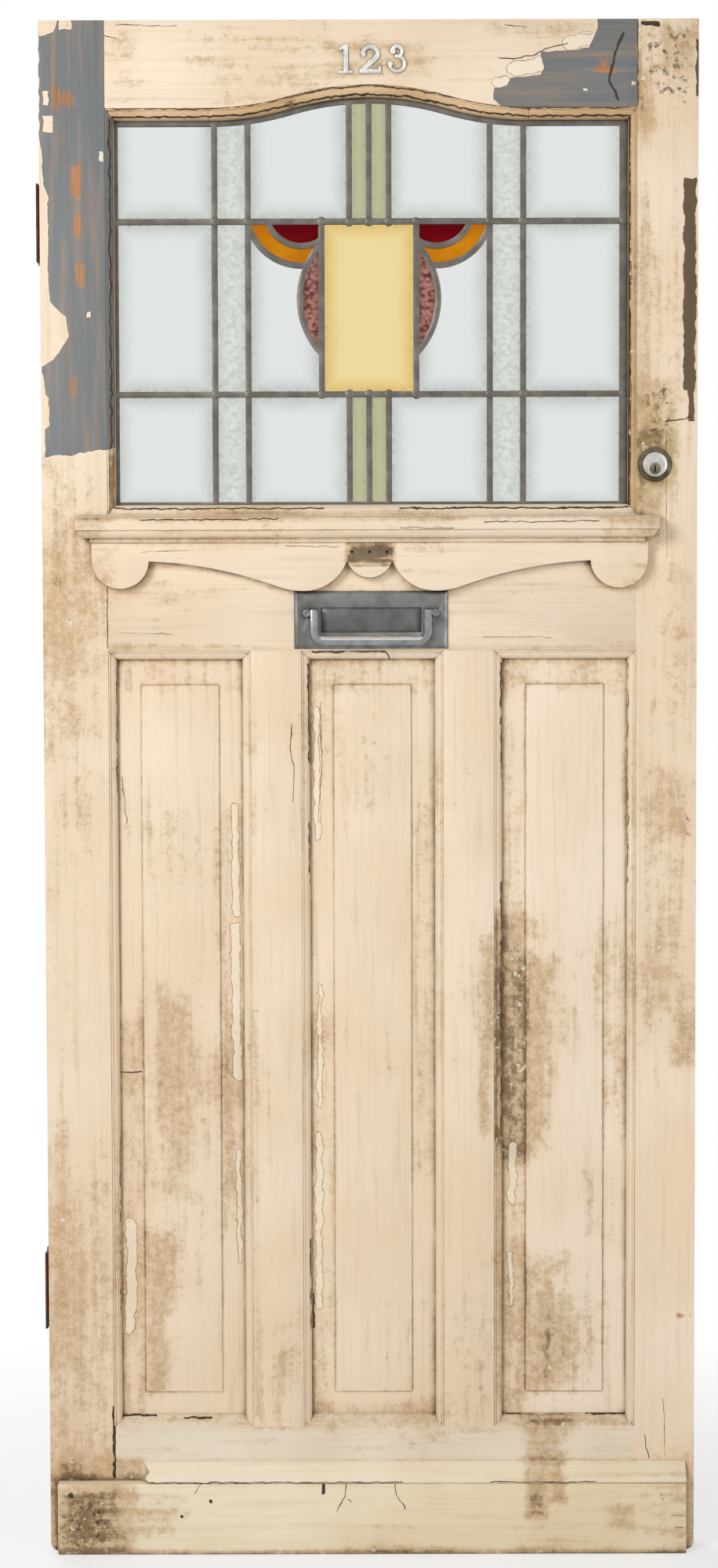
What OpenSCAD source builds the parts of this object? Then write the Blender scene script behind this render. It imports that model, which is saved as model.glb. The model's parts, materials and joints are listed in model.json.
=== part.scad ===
// Panelled front door leaf with a leaded light, a letter plate, a rim lock and two butt hinges.
// x runs to the right, y from the outside face to the inside face, z up.
// The origin is the middle of the leaf's foot, halfway through its thickness.

/* [Leaf] */
// Width of the leaf
leaf_w = 864; // [820:1:920]
// Height of the leaf
leaf_h = 2032; // [2000:1:2120]
// Thickness of the stiles and rails
leaf_t = 44; // [42:0.5:52]
// Width of the stile on the hinge side
hinge_stile_w = 86; // [80:1:100]
// Width of the stile on the lock side
lock_stile_w = 80; // [78:1:90]
// Height of the top rail at its ends
top_rail_h = 114; // [104:1:130]
// Rise of the arch cut under the top rail
arch_rise = 30; // [20:1:40]
// Half the width of the arch
arch_half_w = 210; // [190:1:240]
// Height of the light's opening below the foot of the arch
light_h = 530; // [500:1:560]
// Height of the lock rail
lock_rail_h = 180; // [178:1:200]
// Height of the bottom rail at its front arris
bottom_rail_h = 168; // [150:1:200]
// Rise of the weathered slope on the bottom rail
slope_rise = 15; // [8:1:22]
// Width of each muntin
muntin_w = 67; // [56:1:80]

/* [Joinery] */
// Thickness of the tenons
tenon_t = 14; // [12:0.5:16]
// Length of the rail tenons
tenon_l = 60; // [45:1:66]
// Length of the muntin tenons
stub_l = 30; // [20:1:40]
// Shoulder left above and below a tenon
tenon_shoulder = 24; // [18:1:30]
// Slack around tenons and panel edges
joint_gap = 0.2; // [0.1:0.05:0.4]
// Depth of the panel grooves
groove_d = 10; // [8:0.5:14]

/* [Panels] */
// Thickness of a panel's margin
panel_t = 12; // [9:0.5:14]
// Depth of the panel face behind the leaf's face
panel_set = 14; // [11:0.5:16]
// Margin at each side of the raised field
field_side = 42.5; // [30:0.5:55]
// Margin above the raised field
field_top = 45; // [30:1:60]
// Margin below the raised field
field_foot = 30; // [20:1:60]
// Height of the field's step
field_rise = 3; // [1:0.5:5]
// Width of the planted mouldings
mould_w = 11; // [9:0.5:13]
// Flat fillet at the outer edge of a moulding
mould_fillet = 2.5; // [1.5:0.5:4]
// Step from the fillet down to the ovolo
mould_step = 2; // [1:0.5:3]
// Depth of a moulding's front behind the leaf's face
mould_sink = 1; // [0:0.5:2]

/* [Leaded light] */
// Slack between the light and the hinge stile
light_side_gap = 3.5; // [2:0.5:8]
// Slack between the light and the wood above it
light_top_gap = 9; // [5:0.5:10]
// Slack between the light and the rail below it
light_foot_gap = 5; // [3:0.5:8]
// Height of the glazing moulding under the top rail
head_mould_w = 14; // [12:0.5:18]
// Height of the bead along the lock rail
sill_bead_w = 13; // [11:0.5:16]
// Width of an inner came
came_w = 8; // [6:0.5:10]
// Width of the edge came
edge_came_w = 12; // [10:0.5:14]
// Thickness of the cames from front to back
came_t = 6.4; // [6:0.1:8]
// Thickness of a came's heart, between two panes
heart_t = 2; // [1.5:0.1:2.5]
// Thickness of the glass
glass_t = 3.8; // [3:0.1:4]
// Slack between glass and lead
glass_gap = 0.3; // [0.2:0.05:0.5]
// Height of the top row of panes, below the wood
top_row_h = 145; // [120:1:170]
// Height of the bottom row of panes, above the lock rail
bottom_row_h = 158.5; // [130:0.5:180]
// Width of each green strip
green_w = 26; // [20:1:32]
// Half the width of the yellow pane
yellow_half_w = 62.5; // [52:0.5:72]
// Inner edge of the hammered strips from the middle
strip_in = 159.5; // [155:0.5:170]
// Width of the hammered strips
strip_w = 44; // [30:1:56]
// Middle of the corner arcs, outward from the yellow pane
arc_out = 26.5; // [20:0.5:32]
// Middle of the corner arcs, above the middle row
arc_up = 15; // [8:1:20]
// Radius of the ruby corner
ruby_r = 47; // [40:1:52]
// Width of the amber band around the ruby corner
amber_w = 25.5; // [20:0.5:27]
// Top of the leaf-shaped pane below the middle row's top
leaf_pane_drop = 29; // [26:1:40]
// Length of the leaf-shaped pane
leaf_pane_l = 144; // [120:1:160]
// Bulge of the leaf-shaped pane
leaf_pane_w = 29; // [20:1:36]

/* [Shelf and apron] */
// Distance of the shelf's ends from the leaf's edges
shelf_in = 49; // [40:0.5:60]
// Offset of the shelf's middle from the leaf's middle
shelf_x = -3; // [-6:0.5:6]
// Height of the shelf
shelf_h = 35; // [32:1:42]
// Projection of the shelf from the leaf's face
shelf_out = 35; // [30:1:45]
// Height of the shelf's front edge
shelf_edge_h = 19; // [15:1:22]
// Fall of the shelf's top from back to front
shelf_fall = 3; // [1:0.5:6]
// Radius of the ovolo under the shelf
shelf_ovolo_r = 10; // [7:0.5:10]
// Thickness of the apron
apron_t = 14; // [10:0.5:16]
// Distance of the apron's ends from the shelf's ends
apron_in = 17; // [15:0.5:25]
// Drop of the apron's two long lobes below the shelf
apron_drop = 64; // [60:1:70]
// Radius of the apron's end lobes
end_lobe_r = 37.5; // [34:0.5:40]
// Drop of the end lobes' middle below the shelf
end_lobe_drop = 23; // [18:1:26]
// Distance of the long lobes' lowest point from the middle
lobe_x = 87; // [80:1:95]
// Radius of a long lobe on the side towards the middle
lobe_in_r = 61; // [58:1:66]
// Radius of a long lobe on the side away from the middle
lobe_out_r = 100; // [90:1:110]
// Slope where a long lobe turns into the hollow
lobe_turn = 20; // [17:0.5:22]
// Radius of the long hollow
hollow_r = 560; // [520:10:640]
// Half the width of the middle lobe
mid_lobe_half_w = 29; // [26:0.5:30]
// Depth of the middle lobe
mid_lobe_h = 20.5; // [16:0.5:24]
// Drop of the middle lobe's corners below the shelf
mid_lobe_drop = 26; // [24:0.5:28]
// Radius of the three old nail holes
nail_hole_r = 1.6; // [1:0.1:2.5]
// Distance between the nail holes
nail_pitch = 23; // [15:1:24]
// Drop of the nail holes below the shelf
nail_drop = 13; // [9:1:16]
// Depth of the nail holes
nail_depth = 8; // [4:1:9]

/* [Weatherboard] */
// Distance of the plank's ends from the leaf's edges
board_in = 11.5; // [7:0.5:22]
// Height of the plank
board_h = 96; // [80:1:110]
// Thickness of the plank
board_t = 20; // [14:1:26]
// Height of the sloped strip on the plank
strip_h = 26; // [18:1:34]
// Thickness of the strip's front edge
strip_edge = 4; // [2:0.5:8]
// Length of the strip that is left
strip_l = 728; // [600:1:780]
// Rake of the strip's broken end
strip_break = 12; // [4:1:20]

/* [Letter plate] */
// Width of the plate
plate_w = 203; // [190:1:220]
// Height of the plate
plate_h = 76; // [72:1:77]
// Thickness of the plate
plate_t = 3.2; // [2.5:0.1:4]
// Width of the plate's bevelled edge
plate_bevel = 4; // [2:0.5:6]
// Offset of the plate's middle from the leaf's middle
plate_x = 1.75; // [-4:0.25:4]
// Gap between the apron and the plate
plate_gap = 0.4; // [0.3:0.1:2]
// Width of the opening in the plate
mouth_w = 133; // [120:1:138]
// Height of the opening in the plate
mouth_h = 33; // [28:1:34]
// Lap of the flap behind the plate
flap_lap = 3; // [2:0.5:3.5]
// Thickness of the flap
flap_t = 2; // [1.5:0.1:2.4]
// Slack around the moving flap
flap_gap = 0.4; // [0.3:0.05:0.6]
// Radius of the flap's rod
rod_r = 1.5; // [1.2:0.1:1.7]
// Radius of the flap's barrel
barrel_r = 3; // [2.6:0.1:3.2]
// Radial running clearance of rods, pins and shafts
run_gap = 0.05; // [0.02:0.01:0.08]
// Width of the slot through the rail
slot_w = 152; // [150:1:156]
// Height of the slot through the rail
slot_h = 54; // [53:1:60]
// Thickness of the ears that hold the rod
ear_t = 3; // [2:0.5:3.5]
// Thickness of the spring's wire
wire_d = 0.8; // [0.6:0.1:1]
// Turns of the spring
spring_turns = 7; // [5:1:8]
// Distance between the bail's posts
post_pitch = 170; // [166:1:176]
// Height of the posts above the plate's middle
post_up = 9; // [6:0.5:12]
// Radius of a post
post_r = 5; // [4:0.25:5]
// Length of a post in front of the plate
post_l = 15; // [14:0.5:20]
// Radius of a post's stud through the rail
stud_r = 3; // [2.5:0.25:3.5]
// Width of the bail
bail_w = 159; // [155:1:159]
// Width of the bail's bar
bail_bar = 12; // [10:0.5:14]
// Depth of the bail's bar
bail_d = 9; // [7:0.5:10]
// Drop of the bail below its pivots
bail_drop = 42; // [38:1:46]
// Height of the bail's arms above the pivots
bail_top = 4.5; // [4:0.25:6]
// Radius of the bail's outer corners
bail_r = 18; // [14:1:20]
// Radius of the bail's pivots
pivot_r = 2; // [1.5:0.25:2.5]

/* [Rim lock] */
// Distance from the leaf's edge to the cylinder
backset = 56; // [54:0.5:58]
// Height of the cylinder above the light's foot
cyl_up = 64; // [50:1:100]
// Diameter of the cylinder
cyl_d = 31.75; // [30:0.25:33]
// Outer diameter of the cylinder's ring
ring_d = 44; // [40:0.5:47]
// Thickness of the ring
ring_t = 4; // [3:0.25:6]
// Length of the cylinder behind the leaf's face
cyl_l = 32; // [28:0.5:34]
// Diameter of the plug
plug_d = 15; // [13:0.5:15.5]
// Drop of the plug below the cylinder's middle
plug_drop = 5.4; // [5:0.1:6]
// Width of the keyway
keyway_w = 1.8; // [1.2:0.1:2.4]
// Height of the keyway
keyway_h = 9; // [7:0.5:10]
// Width of the tailbar
tail_w = 7; // [5:0.5:8]
// Thickness of the tailbar
tail_t = 2; // [1.5:0.25:2.5]
// Width of the lock's case
case_w = 76; // [74:1:78]
// Height of the lock's case
case_h = 64; // [60:1:72]
// Depth of the lock's case
case_d = 27; // [26:0.5:30]
// Wall of the lock's case
case_wall = 3; // [2.5:0.25:3.5]
// Thickness of the plates on the leaf's inside face
base_t = 2; // [1.5:0.25:2.5]
// Radius of the crank that throws the bolt
crank_r = 14; // [13:0.5:14]
// Radius of the crank's pin
crank_pin_r = 3; // [2.5:0.25:3]
// Half the turn of the crank
crank_half_turn = 30; // [25:1:30]
// Height of the bolt's head
bolt_h = 32; // [28:1:34]
// Thickness of the bolt's head
bolt_t = 12; // [10:0.5:12]
// Length of the bolt's head
bolt_head_l = 24; // [22:1:26]
// Slack around the moving bolt
bolt_gap = 0.4; // [0.3:0.05:0.6]
// Radius of the hub's shaft
shaft_r = 6; // [5.5:0.25:6.5]
// Radius of the thumb turn's rose
rose_r = 14; // [11:0.5:16]
// Length of the thumb turn's grip
grip_l = 34; // [28:1:40]
// Projection of the thumb turn from the case
grip_out = 18; // [14:0.5:22]

/* [Hinges] */
// Height of each hinge
hinge_h = 102; // [89:1:110]
// Middle of the upper hinge below the leaf's top
hinge_down = 261; // [200:1:300]
// Middle of the lower hinge above the leaf's foot
hinge_up = 351; // [260:1:380]
// Width of a hinge plate
hinge_plate_w = 36; // [34:0.5:40]
// Thickness of a hinge plate
hinge_plate_t = 3; // [2.5:0.1:3.5]
// Gap between the closed hinge plates
hinge_gap = 2.4; // [2:0.1:3]
// Radius of the knuckles
knuckle_r = 6; // [5.5:0.1:6.5]
// Radius of the hinge pins
hinge_pin_r = 3; // [2.5:0.1:3.2]
// Gap between the knuckles
knuckle_gap = 0.4; // [0.3:0.05:0.6]
// Radius of the hinge screws
hinge_screw_r = 2.2; // [1.8:0.1:2.4]
// Length of the hinge screws
hinge_screw_l = 32; // [25:1:40]

/* [Numerals] */
// Height of the numerals
numeral_h = 38; // [30:1:42]
// Width of a numeral's main stroke
stroke = 6.5; // [5:0.25:7]
// Thickness of the numerals
numeral_t = 3.5; // [2:0.25:5]
// Middle of the number from the leaf's middle
number_x = 5.5; // [-10:0.5:10]
// Foot of the numerals below the leaf's top
number_down = 70; // [60:1:76]
// Gap between the numerals
numeral_gap = 8; // [4:0.5:12]

/* [Hidden] */
$fn = 96;

paint = [0.93, 0.86, 0.76];
undercoat = [0.49, 0.51, 0.51];
lead = [0.50, 0.48, 0.46];
pewter = [0.42, 0.43, 0.45];
steel = [0.62, 0.62, 0.62];
brass = [0.70, 0.56, 0.30];
rust = [0.27, 0.20, 0.16];
polished = [0.80, 0.80, 0.80];

// Small overlap that lets a cut run clear of a face
cut = 1;

// Faces and inner edges of the frame
front_y = -leaf_t / 2;
back_y = leaf_t / 2;
left_x = -leaf_w / 2;
right_x = leaf_w / 2;
stile_l = left_x + hinge_stile_w;
stile_r = right_x - lock_stile_w;
slope_z = bottom_rail_h + slope_rise;
spring_z = leaf_h - top_rail_h;
sill_z = spring_z - light_h;
lock_rail_z = sill_z - lock_rail_h;

// Arch of the top rail: two equal arcs on each side that meet halfway
arch_r = (pow(arch_half_w, 2) + pow(arch_rise, 2)) / (4 * arch_rise);
arch_a = 2 * atan(arch_rise / arch_half_w);
arch_mid_z = spring_z + arch_rise - arch_r;
arch_side_z = spring_z + arch_r;

// Panels, numbered 0 to 2 from the left
panel_y = front_y + panel_set;
panel_open_w = (stile_r - stile_l - 2 * muntin_w) / 3;
function panel_x(i) = stile_l + i * (panel_open_w + muntin_w);
panel_mould_d = panel_set - mould_sink;

// Leaded light
light_w = -2 * (stile_l + light_side_gap);
light_y = came_t / 2;
light_mould_d = leaf_t / 2 - light_y - mould_sink;
row_hi = spring_z - top_row_h;
row_lo = sill_z + bottom_row_h;
arc_x = yellow_half_w + arc_out;
arc_z = row_hi + arc_up;
amber_r = ruby_r + amber_w;
strip_out = strip_in + strip_w;
leaf_pane_z = row_hi - leaf_pane_drop - leaf_pane_l / 2;
leaf_pane_r = (pow(leaf_pane_l / 2, 2) + pow(leaf_pane_w, 2)) / (2 * leaf_pane_w);

// Shelf, apron and letter plate hang one below the other
shelf_w = leaf_w - 2 * shelf_in;
apron_w = shelf_w - 2 * apron_in;
board_w = leaf_w - 2 * board_in;
shelf_below = 2;
shelf_z1 = sill_z - shelf_below;
shelf_z0 = shelf_z1 - shelf_h;
shelf_step = 3;
shelf_fillet = shelf_h - shelf_edge_h - shelf_ovolo_r;
shelf_fillet_out = apron_t + shelf_step;
apron_low_z = shelf_z0 - apron_drop;
end_lobe_x = apron_w / 2 - end_lobe_r;
end_lobe_z = shelf_z0 - end_lobe_drop;
turn_x = lobe_x + lobe_out_r * sin(lobe_turn);
turn_z = apron_low_z + lobe_out_r * (1 - cos(lobe_turn));
mid_lobe_r = (pow(mid_lobe_half_w, 2) + pow(mid_lobe_h, 2)) / (2 * mid_lobe_h);
mid_lobe_low_z = shelf_z0 - mid_lobe_drop - mid_lobe_h;
plate_z = apron_low_z - plate_gap - plate_h / 2;
plate_y = front_y - plate_t;
plate_rim_y = front_y - plate_t / 3;

// Flap, rod and slot
mouth_top = plate_z + mouth_h / 2;
rod_y = front_y + flap_gap + barrel_r + flap_t / 4;
rod_z = mouth_top + flap_lap + barrel_r;
slot_z = plate_z;
coil_r = rod_r + flap_gap + wire_d;
coil_l = spring_turns * wire_d * 2;
flap_half_w = mouth_w / 2 + flap_lap;
coil_x = plate_x - flap_half_w + wire_d;
coil_room_x = coil_x + coil_l + 2 * wire_d;

// Bail
post_z = plate_z + post_up;
pivot_y = plate_y - post_l * 0.7;
post_recess = 1;
washer_t = 1.5;
nut_h = 5;
stud_end_y = back_y + washer_t + nut_h + stud_r / 2;

// Lock
cyl_x = right_x - backset;
cyl_z = sill_z + cyl_up;
plug_z = cyl_z - plug_drop;
plug_r = plug_d / 2;
ring_gap = 0.15;
face_proud = 1;
cyl_face_y = front_y - ring_t - face_proud;
cyl_back_y = front_y + cyl_l;
plug_face_y = cyl_face_y - face_proud / 2;
plug_back_y = cyl_back_y + 1;
tail_in_y = cyl_back_y - 4;
keyway_end_y = tail_in_y - 4;
case_x = right_x - case_w;
case_z = cyl_z - case_h / 2;
case_y = back_y + case_d;
bolt_in = 3;
bolt_y = back_y + base_t + bolt_in;
tail_plate_t = bolt_t / 2;
web_t = 4;
web_y = bolt_y - bolt_in / 3;
tail_plate_y = web_y + web_t + bolt_gap;
crank_x = crank_r * sin(crank_half_turn);
tail_plate_h = 17;
bolt_z = plug_z + shaft_r + bolt_in - 1;
bolt_top_z = bolt_z + tail_plate_h;
clamp_r = ring_d / 2;
clamp_gap = 0.5;
rose_gap = 0.4;
rose_t = 3.6;
rose_y = case_y + rose_gap;
shaft_end_y = case_y + grip_out * 0.7;

// Hinge axis just inside the closed leaf's inner face
hinge_x = left_x - hinge_gap / 2;
knuckle_clear = 0.3;
hinge_y = back_y + knuckle_r + knuckle_clear;
hinge_z = [leaf_h - hinge_down, hinge_up];
knuckle_h = hinge_h / 5;
screw_rows = [0.36, 0.13, -0.13, -0.36];
screw_in = 12;
screw_stagger = 14;
screw_head_r = 2 * hinge_screw_r;
screw_head_h = 2.2;
pin_head_h = 2;

// Box between two opposite corners
module block(lo, hi) {
    translate(lo) cube(hi - lo);
}

// Slab with an outline drawn in x and z
module front_slab(y0, y1) {
    translate([0, y1, 0]) rotate([90, 0, 0]) linear_extrude(y1 - y0) children();
}

// Bar with a section drawn in y and z
module side_bar(x0, x1) {
    translate([x0, 0, 0]) rotate([90, 0, 90]) linear_extrude(x1 - x0) children();
}

// Round bar along y from y0 to y1
module rod_y_axis(x, z, y0, y1, r) {
    translate([x, y0, z]) rotate([-90, 0, 0]) cylinder(h = y1 - y0, r = r);
}

// Round bar along x from x0 to x1
module rod_x_axis(y, z, x0, x1, r) {
    translate([x0, y, z]) rotate([0, 90, 0]) cylinder(h = x1 - x0, r = r);
}

// Rectangle between two opposite corners
module area(lo, hi) {
    translate(lo) square(hi - lo);
}

// Section of a planted moulding: fillet, step and ovolo, from the wood inwards
module ovolo(w, d) {
    r = min(w - mould_fillet, d - mould_step - 1);
    square([w, d - mould_step - r]);
    square([mould_fillet, d]);
    intersection() {
        translate([w - r, d - mould_step - r]) circle(r);
        square([w, d]);
    }
    square([w - r, d - mould_step]);
}

// Outline under the arch: straight sides from z0, arched head drawn in by top
module arch_outline(x0, x1, z0, top) {
    z1 = spring_z - top;
    turn = (arch_r - top) * sin(arch_a);
    turn_up = arch_mid_z + (arch_r - top) * cos(arch_a);
    area([x0, z0], [x1, z1]);
    intersection() {
        translate([0, arch_mid_z]) circle(arch_r - top);
        area([-turn, z1 - cut], [turn, leaf_h]);
    }
    for (s = [0, 1]) mirror([s, 0]) difference() {
        area([turn - cut, z1 - cut], [arch_half_w, turn_up]);
        translate([arch_half_w, arch_side_z]) circle(arch_r + top);
        area([turn - 2 * cut, turn_up - cut], [turn, turn_up + cut]);
    }
}

// Tenon of a rail at one end, with slack g all round when it cuts a mortise
module rail_tenon(x0, x1, z0, z1, g) {
    block([x0 - g, -tenon_t / 2 - g, z0 + tenon_shoulder - g],
          [x1 + g, tenon_t / 2 + g, z1 - tenon_shoulder + g]);
}

module rail_tenons(z0, z1, g) {
    rail_tenon(stile_l - tenon_l, stile_l + cut, z0, z1, g);
    rail_tenon(stile_r - cut, stile_r + tenon_l, z0, z1, g);
}

// Panel board in the rails' grooves, with slack g at its edges when it cuts a groove
module panel_board(i, g) {
    lap = groove_d - joint_gap * 4 + g;
    x0 = panel_x(i) - lap;
    x1 = panel_x(i) + panel_open_w + lap;
    block([x0, panel_y - min(g, joint_gap), slope_z - lap],
          [x1, panel_y + panel_t + min(g, joint_gap), lock_rail_z + lap]);
}

module panel_grooves() {
    for (i = [0:2]) panel_board(i, joint_gap * 4);
}

// Muntin's stub tenon at its head and foot
module muntin_tenons(i, g) {
    x0 = panel_x(i + 1) - muntin_w + tenon_t;
    x1 = panel_x(i + 1) - tenon_t;
    for (z = [[slope_z - stub_l, slope_z + cut], [lock_rail_z - cut, lock_rail_z + stub_l]])
        block([x0 - g, -tenon_t / 2 - g, z[0] - g], [x1 + g, tenon_t / 2 + g, z[1] + g]);
}

module hinge_stile() color(paint) difference() {
    block([left_x, front_y, 0], [stile_l, back_y, leaf_h]);
    rail_tenons(spring_z, leaf_h, joint_gap);
    rail_tenons(lock_rail_z, sill_z, joint_gap);
    rail_tenons(0, bottom_rail_h, joint_gap);
    panel_grooves();
    for (z = hinge_z) {
        block([left_x - cut, back_y - hinge_plate_w - joint_gap, z - hinge_h / 2 - joint_gap],
              [left_x + hinge_plate_t, back_y + cut, z + hinge_h / 2 + joint_gap]);
        for (i = [0:3]) rod_x_axis(screw_y(i), z + screw_rows[i] * hinge_h, left_x,
                                   left_x + hinge_screw_l + joint_gap, hinge_screw_r + joint_gap / 2);
    }
}

module lock_stile() color(paint) difference() {
    block([stile_r, front_y, 0], [right_x, back_y, leaf_h]);
    rail_tenons(spring_z, leaf_h, joint_gap);
    rail_tenons(lock_rail_z, sill_z, joint_gap);
    rail_tenons(0, bottom_rail_h, joint_gap);
    panel_grooves();
    rod_y_axis(cyl_x, cyl_z, front_y - cut, back_y + cut, cyl_d / 2 + joint_gap);
    for (p = lock_screw_spots) rod_y_axis(p[0], p[1], back_y - lock_screw_l - joint_gap, back_y + cut,
                                          lock_screw_r + joint_gap / 2);
}

module top_rail() color(paint) {
    front_slab(front_y, back_y) difference() {
        area([stile_l, spring_z], [stile_r, leaf_h]);
        arch_outline(stile_l - cut, stile_r + cut, spring_z - 2 * cut, 0);
    }
    rail_tenons(spring_z, leaf_h, 0);
}

module lock_rail() color(paint) difference() {
    union() {
        block([stile_l, front_y, lock_rail_z], [stile_r, back_y, sill_z]);
        rail_tenons(lock_rail_z, sill_z, 0);
    }
    panel_grooves();
    for (i = [0, 1]) muntin_tenons(i, joint_gap);
    block([plate_x - slot_w / 2, front_y - cut, slot_z - slot_h / 2],
          [plate_x + slot_w / 2, back_y + cut, slot_z + slot_h / 2]);
    for (s = [-1, 1]) rod_y_axis(plate_x + s * post_pitch / 2, post_z, front_y - cut, back_y + cut,
                                 stud_r + joint_gap);
}

// Section of the bottom rail, with the weathered slope in front of the panels
module bottom_section() {
    polygon([[front_y, 0], [back_y, 0], [back_y, slope_z], [panel_y, slope_z], [front_y, bottom_rail_h]]);
}

module bottom_rail() color(paint) difference() {
    union() {
        side_bar(stile_l, stile_r) bottom_section();
        rail_tenons(0, bottom_rail_h, 0);
    }
    panel_grooves();
    for (i = [0, 1]) muntin_tenons(i, joint_gap);
}

module muntin(i) color(paint) difference() {
    union() {
        difference() {
            block([panel_x(i + 1) - muntin_w, front_y, bottom_rail_h], [panel_x(i + 1), back_y, lock_rail_z]);
            side_bar(stile_l, stile_r) bottom_section();
        }
        muntin_tenons(i, 0);
    }
    panel_grooves();
}

module muntin_left() muntin(0);
module muntin_right() muntin(1);

module panel(i) color(paint) {
    panel_board(i, 0);
    block([panel_x(i) + field_side, panel_y - field_rise, slope_z + field_foot],
          [panel_x(i) + panel_open_w - field_side, panel_y + cut, lock_rail_z - field_top]);
}

module panel_left() panel(0);
module panel_centre() panel(1);
module panel_right() panel(2);

// Upright strip at the left of a panel, mitred at its head and cut to the slope at its foot
module panel_side_mould(x) {
    difference() {
        intersection() {
            translate([x, panel_y, bottom_rail_h]) linear_extrude(lock_rail_z - bottom_rail_h)
                mirror([0, 1]) ovolo(mould_w, panel_mould_d);
            front_slab(front_y, panel_y) polygon([
                [x, 0], [x + mould_w, 0], [x + mould_w, lock_rail_z - mould_w], [x, lock_rail_z]]);
        }
        side_bar(x - cut, x + mould_w + cut) bottom_section();
    }
}

// Three strips around one panel, a hair apart at the mitres
module panel_mouldings(i) color(paint) {
    x0 = panel_x(i);
    x1 = x0 + panel_open_w;
    panel_side_mould(x0);
    translate([x0 + x1, 0, 0]) mirror([1, 0, 0]) panel_side_mould(x0);
    intersection() {
        side_bar(x0, x1) translate([panel_y, lock_rail_z]) mirror([1, 0]) rotate(-90)
            ovolo(mould_w, panel_mould_d);
        front_slab(front_y, panel_y) polygon([
            [x0 + joint_gap, lock_rail_z], [x1 - joint_gap, lock_rail_z],
            [x1 - joint_gap - mould_w, lock_rail_z - mould_w],
            [x0 + joint_gap + mould_w, lock_rail_z - mould_w]]);
    }
}

module panel_left_mouldings() panel_mouldings(0);
module panel_centre_mouldings() panel_mouldings(1);
module panel_right_mouldings() panel_mouldings(2);

// Upright glazing moulding at the left of the light
module glazing_side() {
    intersection() {
        translate([stile_l, -light_y, sill_z]) linear_extrude(spring_z - sill_z)
            mirror([0, 1]) ovolo(mould_w, light_mould_d);
        front_slab(front_y, 0) polygon([
            [stile_l, sill_z], [stile_l + mould_w, sill_z + sill_bead_w],
            [stile_l + mould_w, spring_z - head_mould_w], [stile_l, spring_z]]);
    }
}

module glazing_mould_left() color(undercoat) glazing_side();
module glazing_mould_right() color(paint)
    translate([stile_l + stile_r, 0, 0]) mirror([1, 0, 0]) glazing_side();

// Moulding under the top rail: two straight lengths, mitred at the corners, and curved ones along the arch
module glazing_mould_head() color(paint) {
    intersection() {
        for (x = [[stile_l, -arch_half_w - joint_gap], [arch_half_w + joint_gap, stile_r]])
            side_bar(x[0], x[1]) translate([-light_y, spring_z]) mirror([1, 0]) rotate(-90)
                ovolo(head_mould_w, light_mould_d);
        front_slab(front_y, 0) polygon([
            [stile_l, spring_z], [stile_l + mould_w, spring_z - head_mould_w],
            [stile_r - mould_w, spring_z - head_mould_w], [stile_r, spring_z]]);
    }
    translate([0, 0, arch_mid_z]) rotate([90, 0, 0]) rotate([0, 0, 90 - arch_a])
        rotate_extrude(angle = 2 * arch_a)
        translate([arch_r, light_y]) mirror([1, 0]) ovolo(head_mould_w, light_mould_d);
    for (s = [0, 1]) mirror([s, 0, 0])
        translate([arch_half_w, 0, arch_side_z]) rotate([90, 0, 0]) rotate([0, 0, -90 - arch_a])
        rotate_extrude(angle = arch_a)
        translate([arch_r, light_y]) ovolo(head_mould_w, light_mould_d);
}

module glazing_bead_sill() color(paint) intersection() {
    side_bar(stile_l, stile_r) translate([-light_y, sill_z]) rotate(90) ovolo(sill_bead_w, light_mould_d);
    front_slab(front_y, 0) polygon([
        [stile_l, sill_z], [stile_r, sill_z],
        [stile_r - mould_w, sill_z + sill_bead_w], [stile_l + mould_w, sill_z + sill_bead_w]]);
}

// Four plain beads that hold the light from inside
module inner_glazing_beads() color(paint) front_slab(light_y, back_y - mould_sink) {
    head_z = spring_z - head_mould_w;
    foot_z = sill_z + sill_bead_w;
    difference() {
        arch_outline(stile_l, stile_r, head_z, 0);
        arch_outline(stile_l - cut, stile_r + cut, head_z - cut, head_mould_w);
    }
    area([stile_l, sill_z], [stile_r, foot_z]);
    for (x = [stile_l, stile_r - mould_w])
        area([x, foot_z + joint_gap], [x + mould_w, head_z - joint_gap]);
}

// Outline of the light, drawn in by an inset from its outer edge
module light_outline(inset) {
    arch_outline(-light_w / 2 + inset, light_w / 2 - inset,
                 sill_z + light_foot_gap + inset, light_top_gap + inset);
}

// Leaf-shaped pane on the right, as an outline between came middles
module leaf_outline() {
    intersection() {
        translate([yellow_half_w + leaf_pane_w - leaf_pane_r, leaf_pane_z]) circle(leaf_pane_r);
        area([yellow_half_w, row_lo], [strip_in, row_hi]);
    }
}

// Band of width w along a circle
module ring(r, w) {
    difference() {
        circle(r + w / 2);
        circle(r - w / 2);
    }
}

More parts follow.
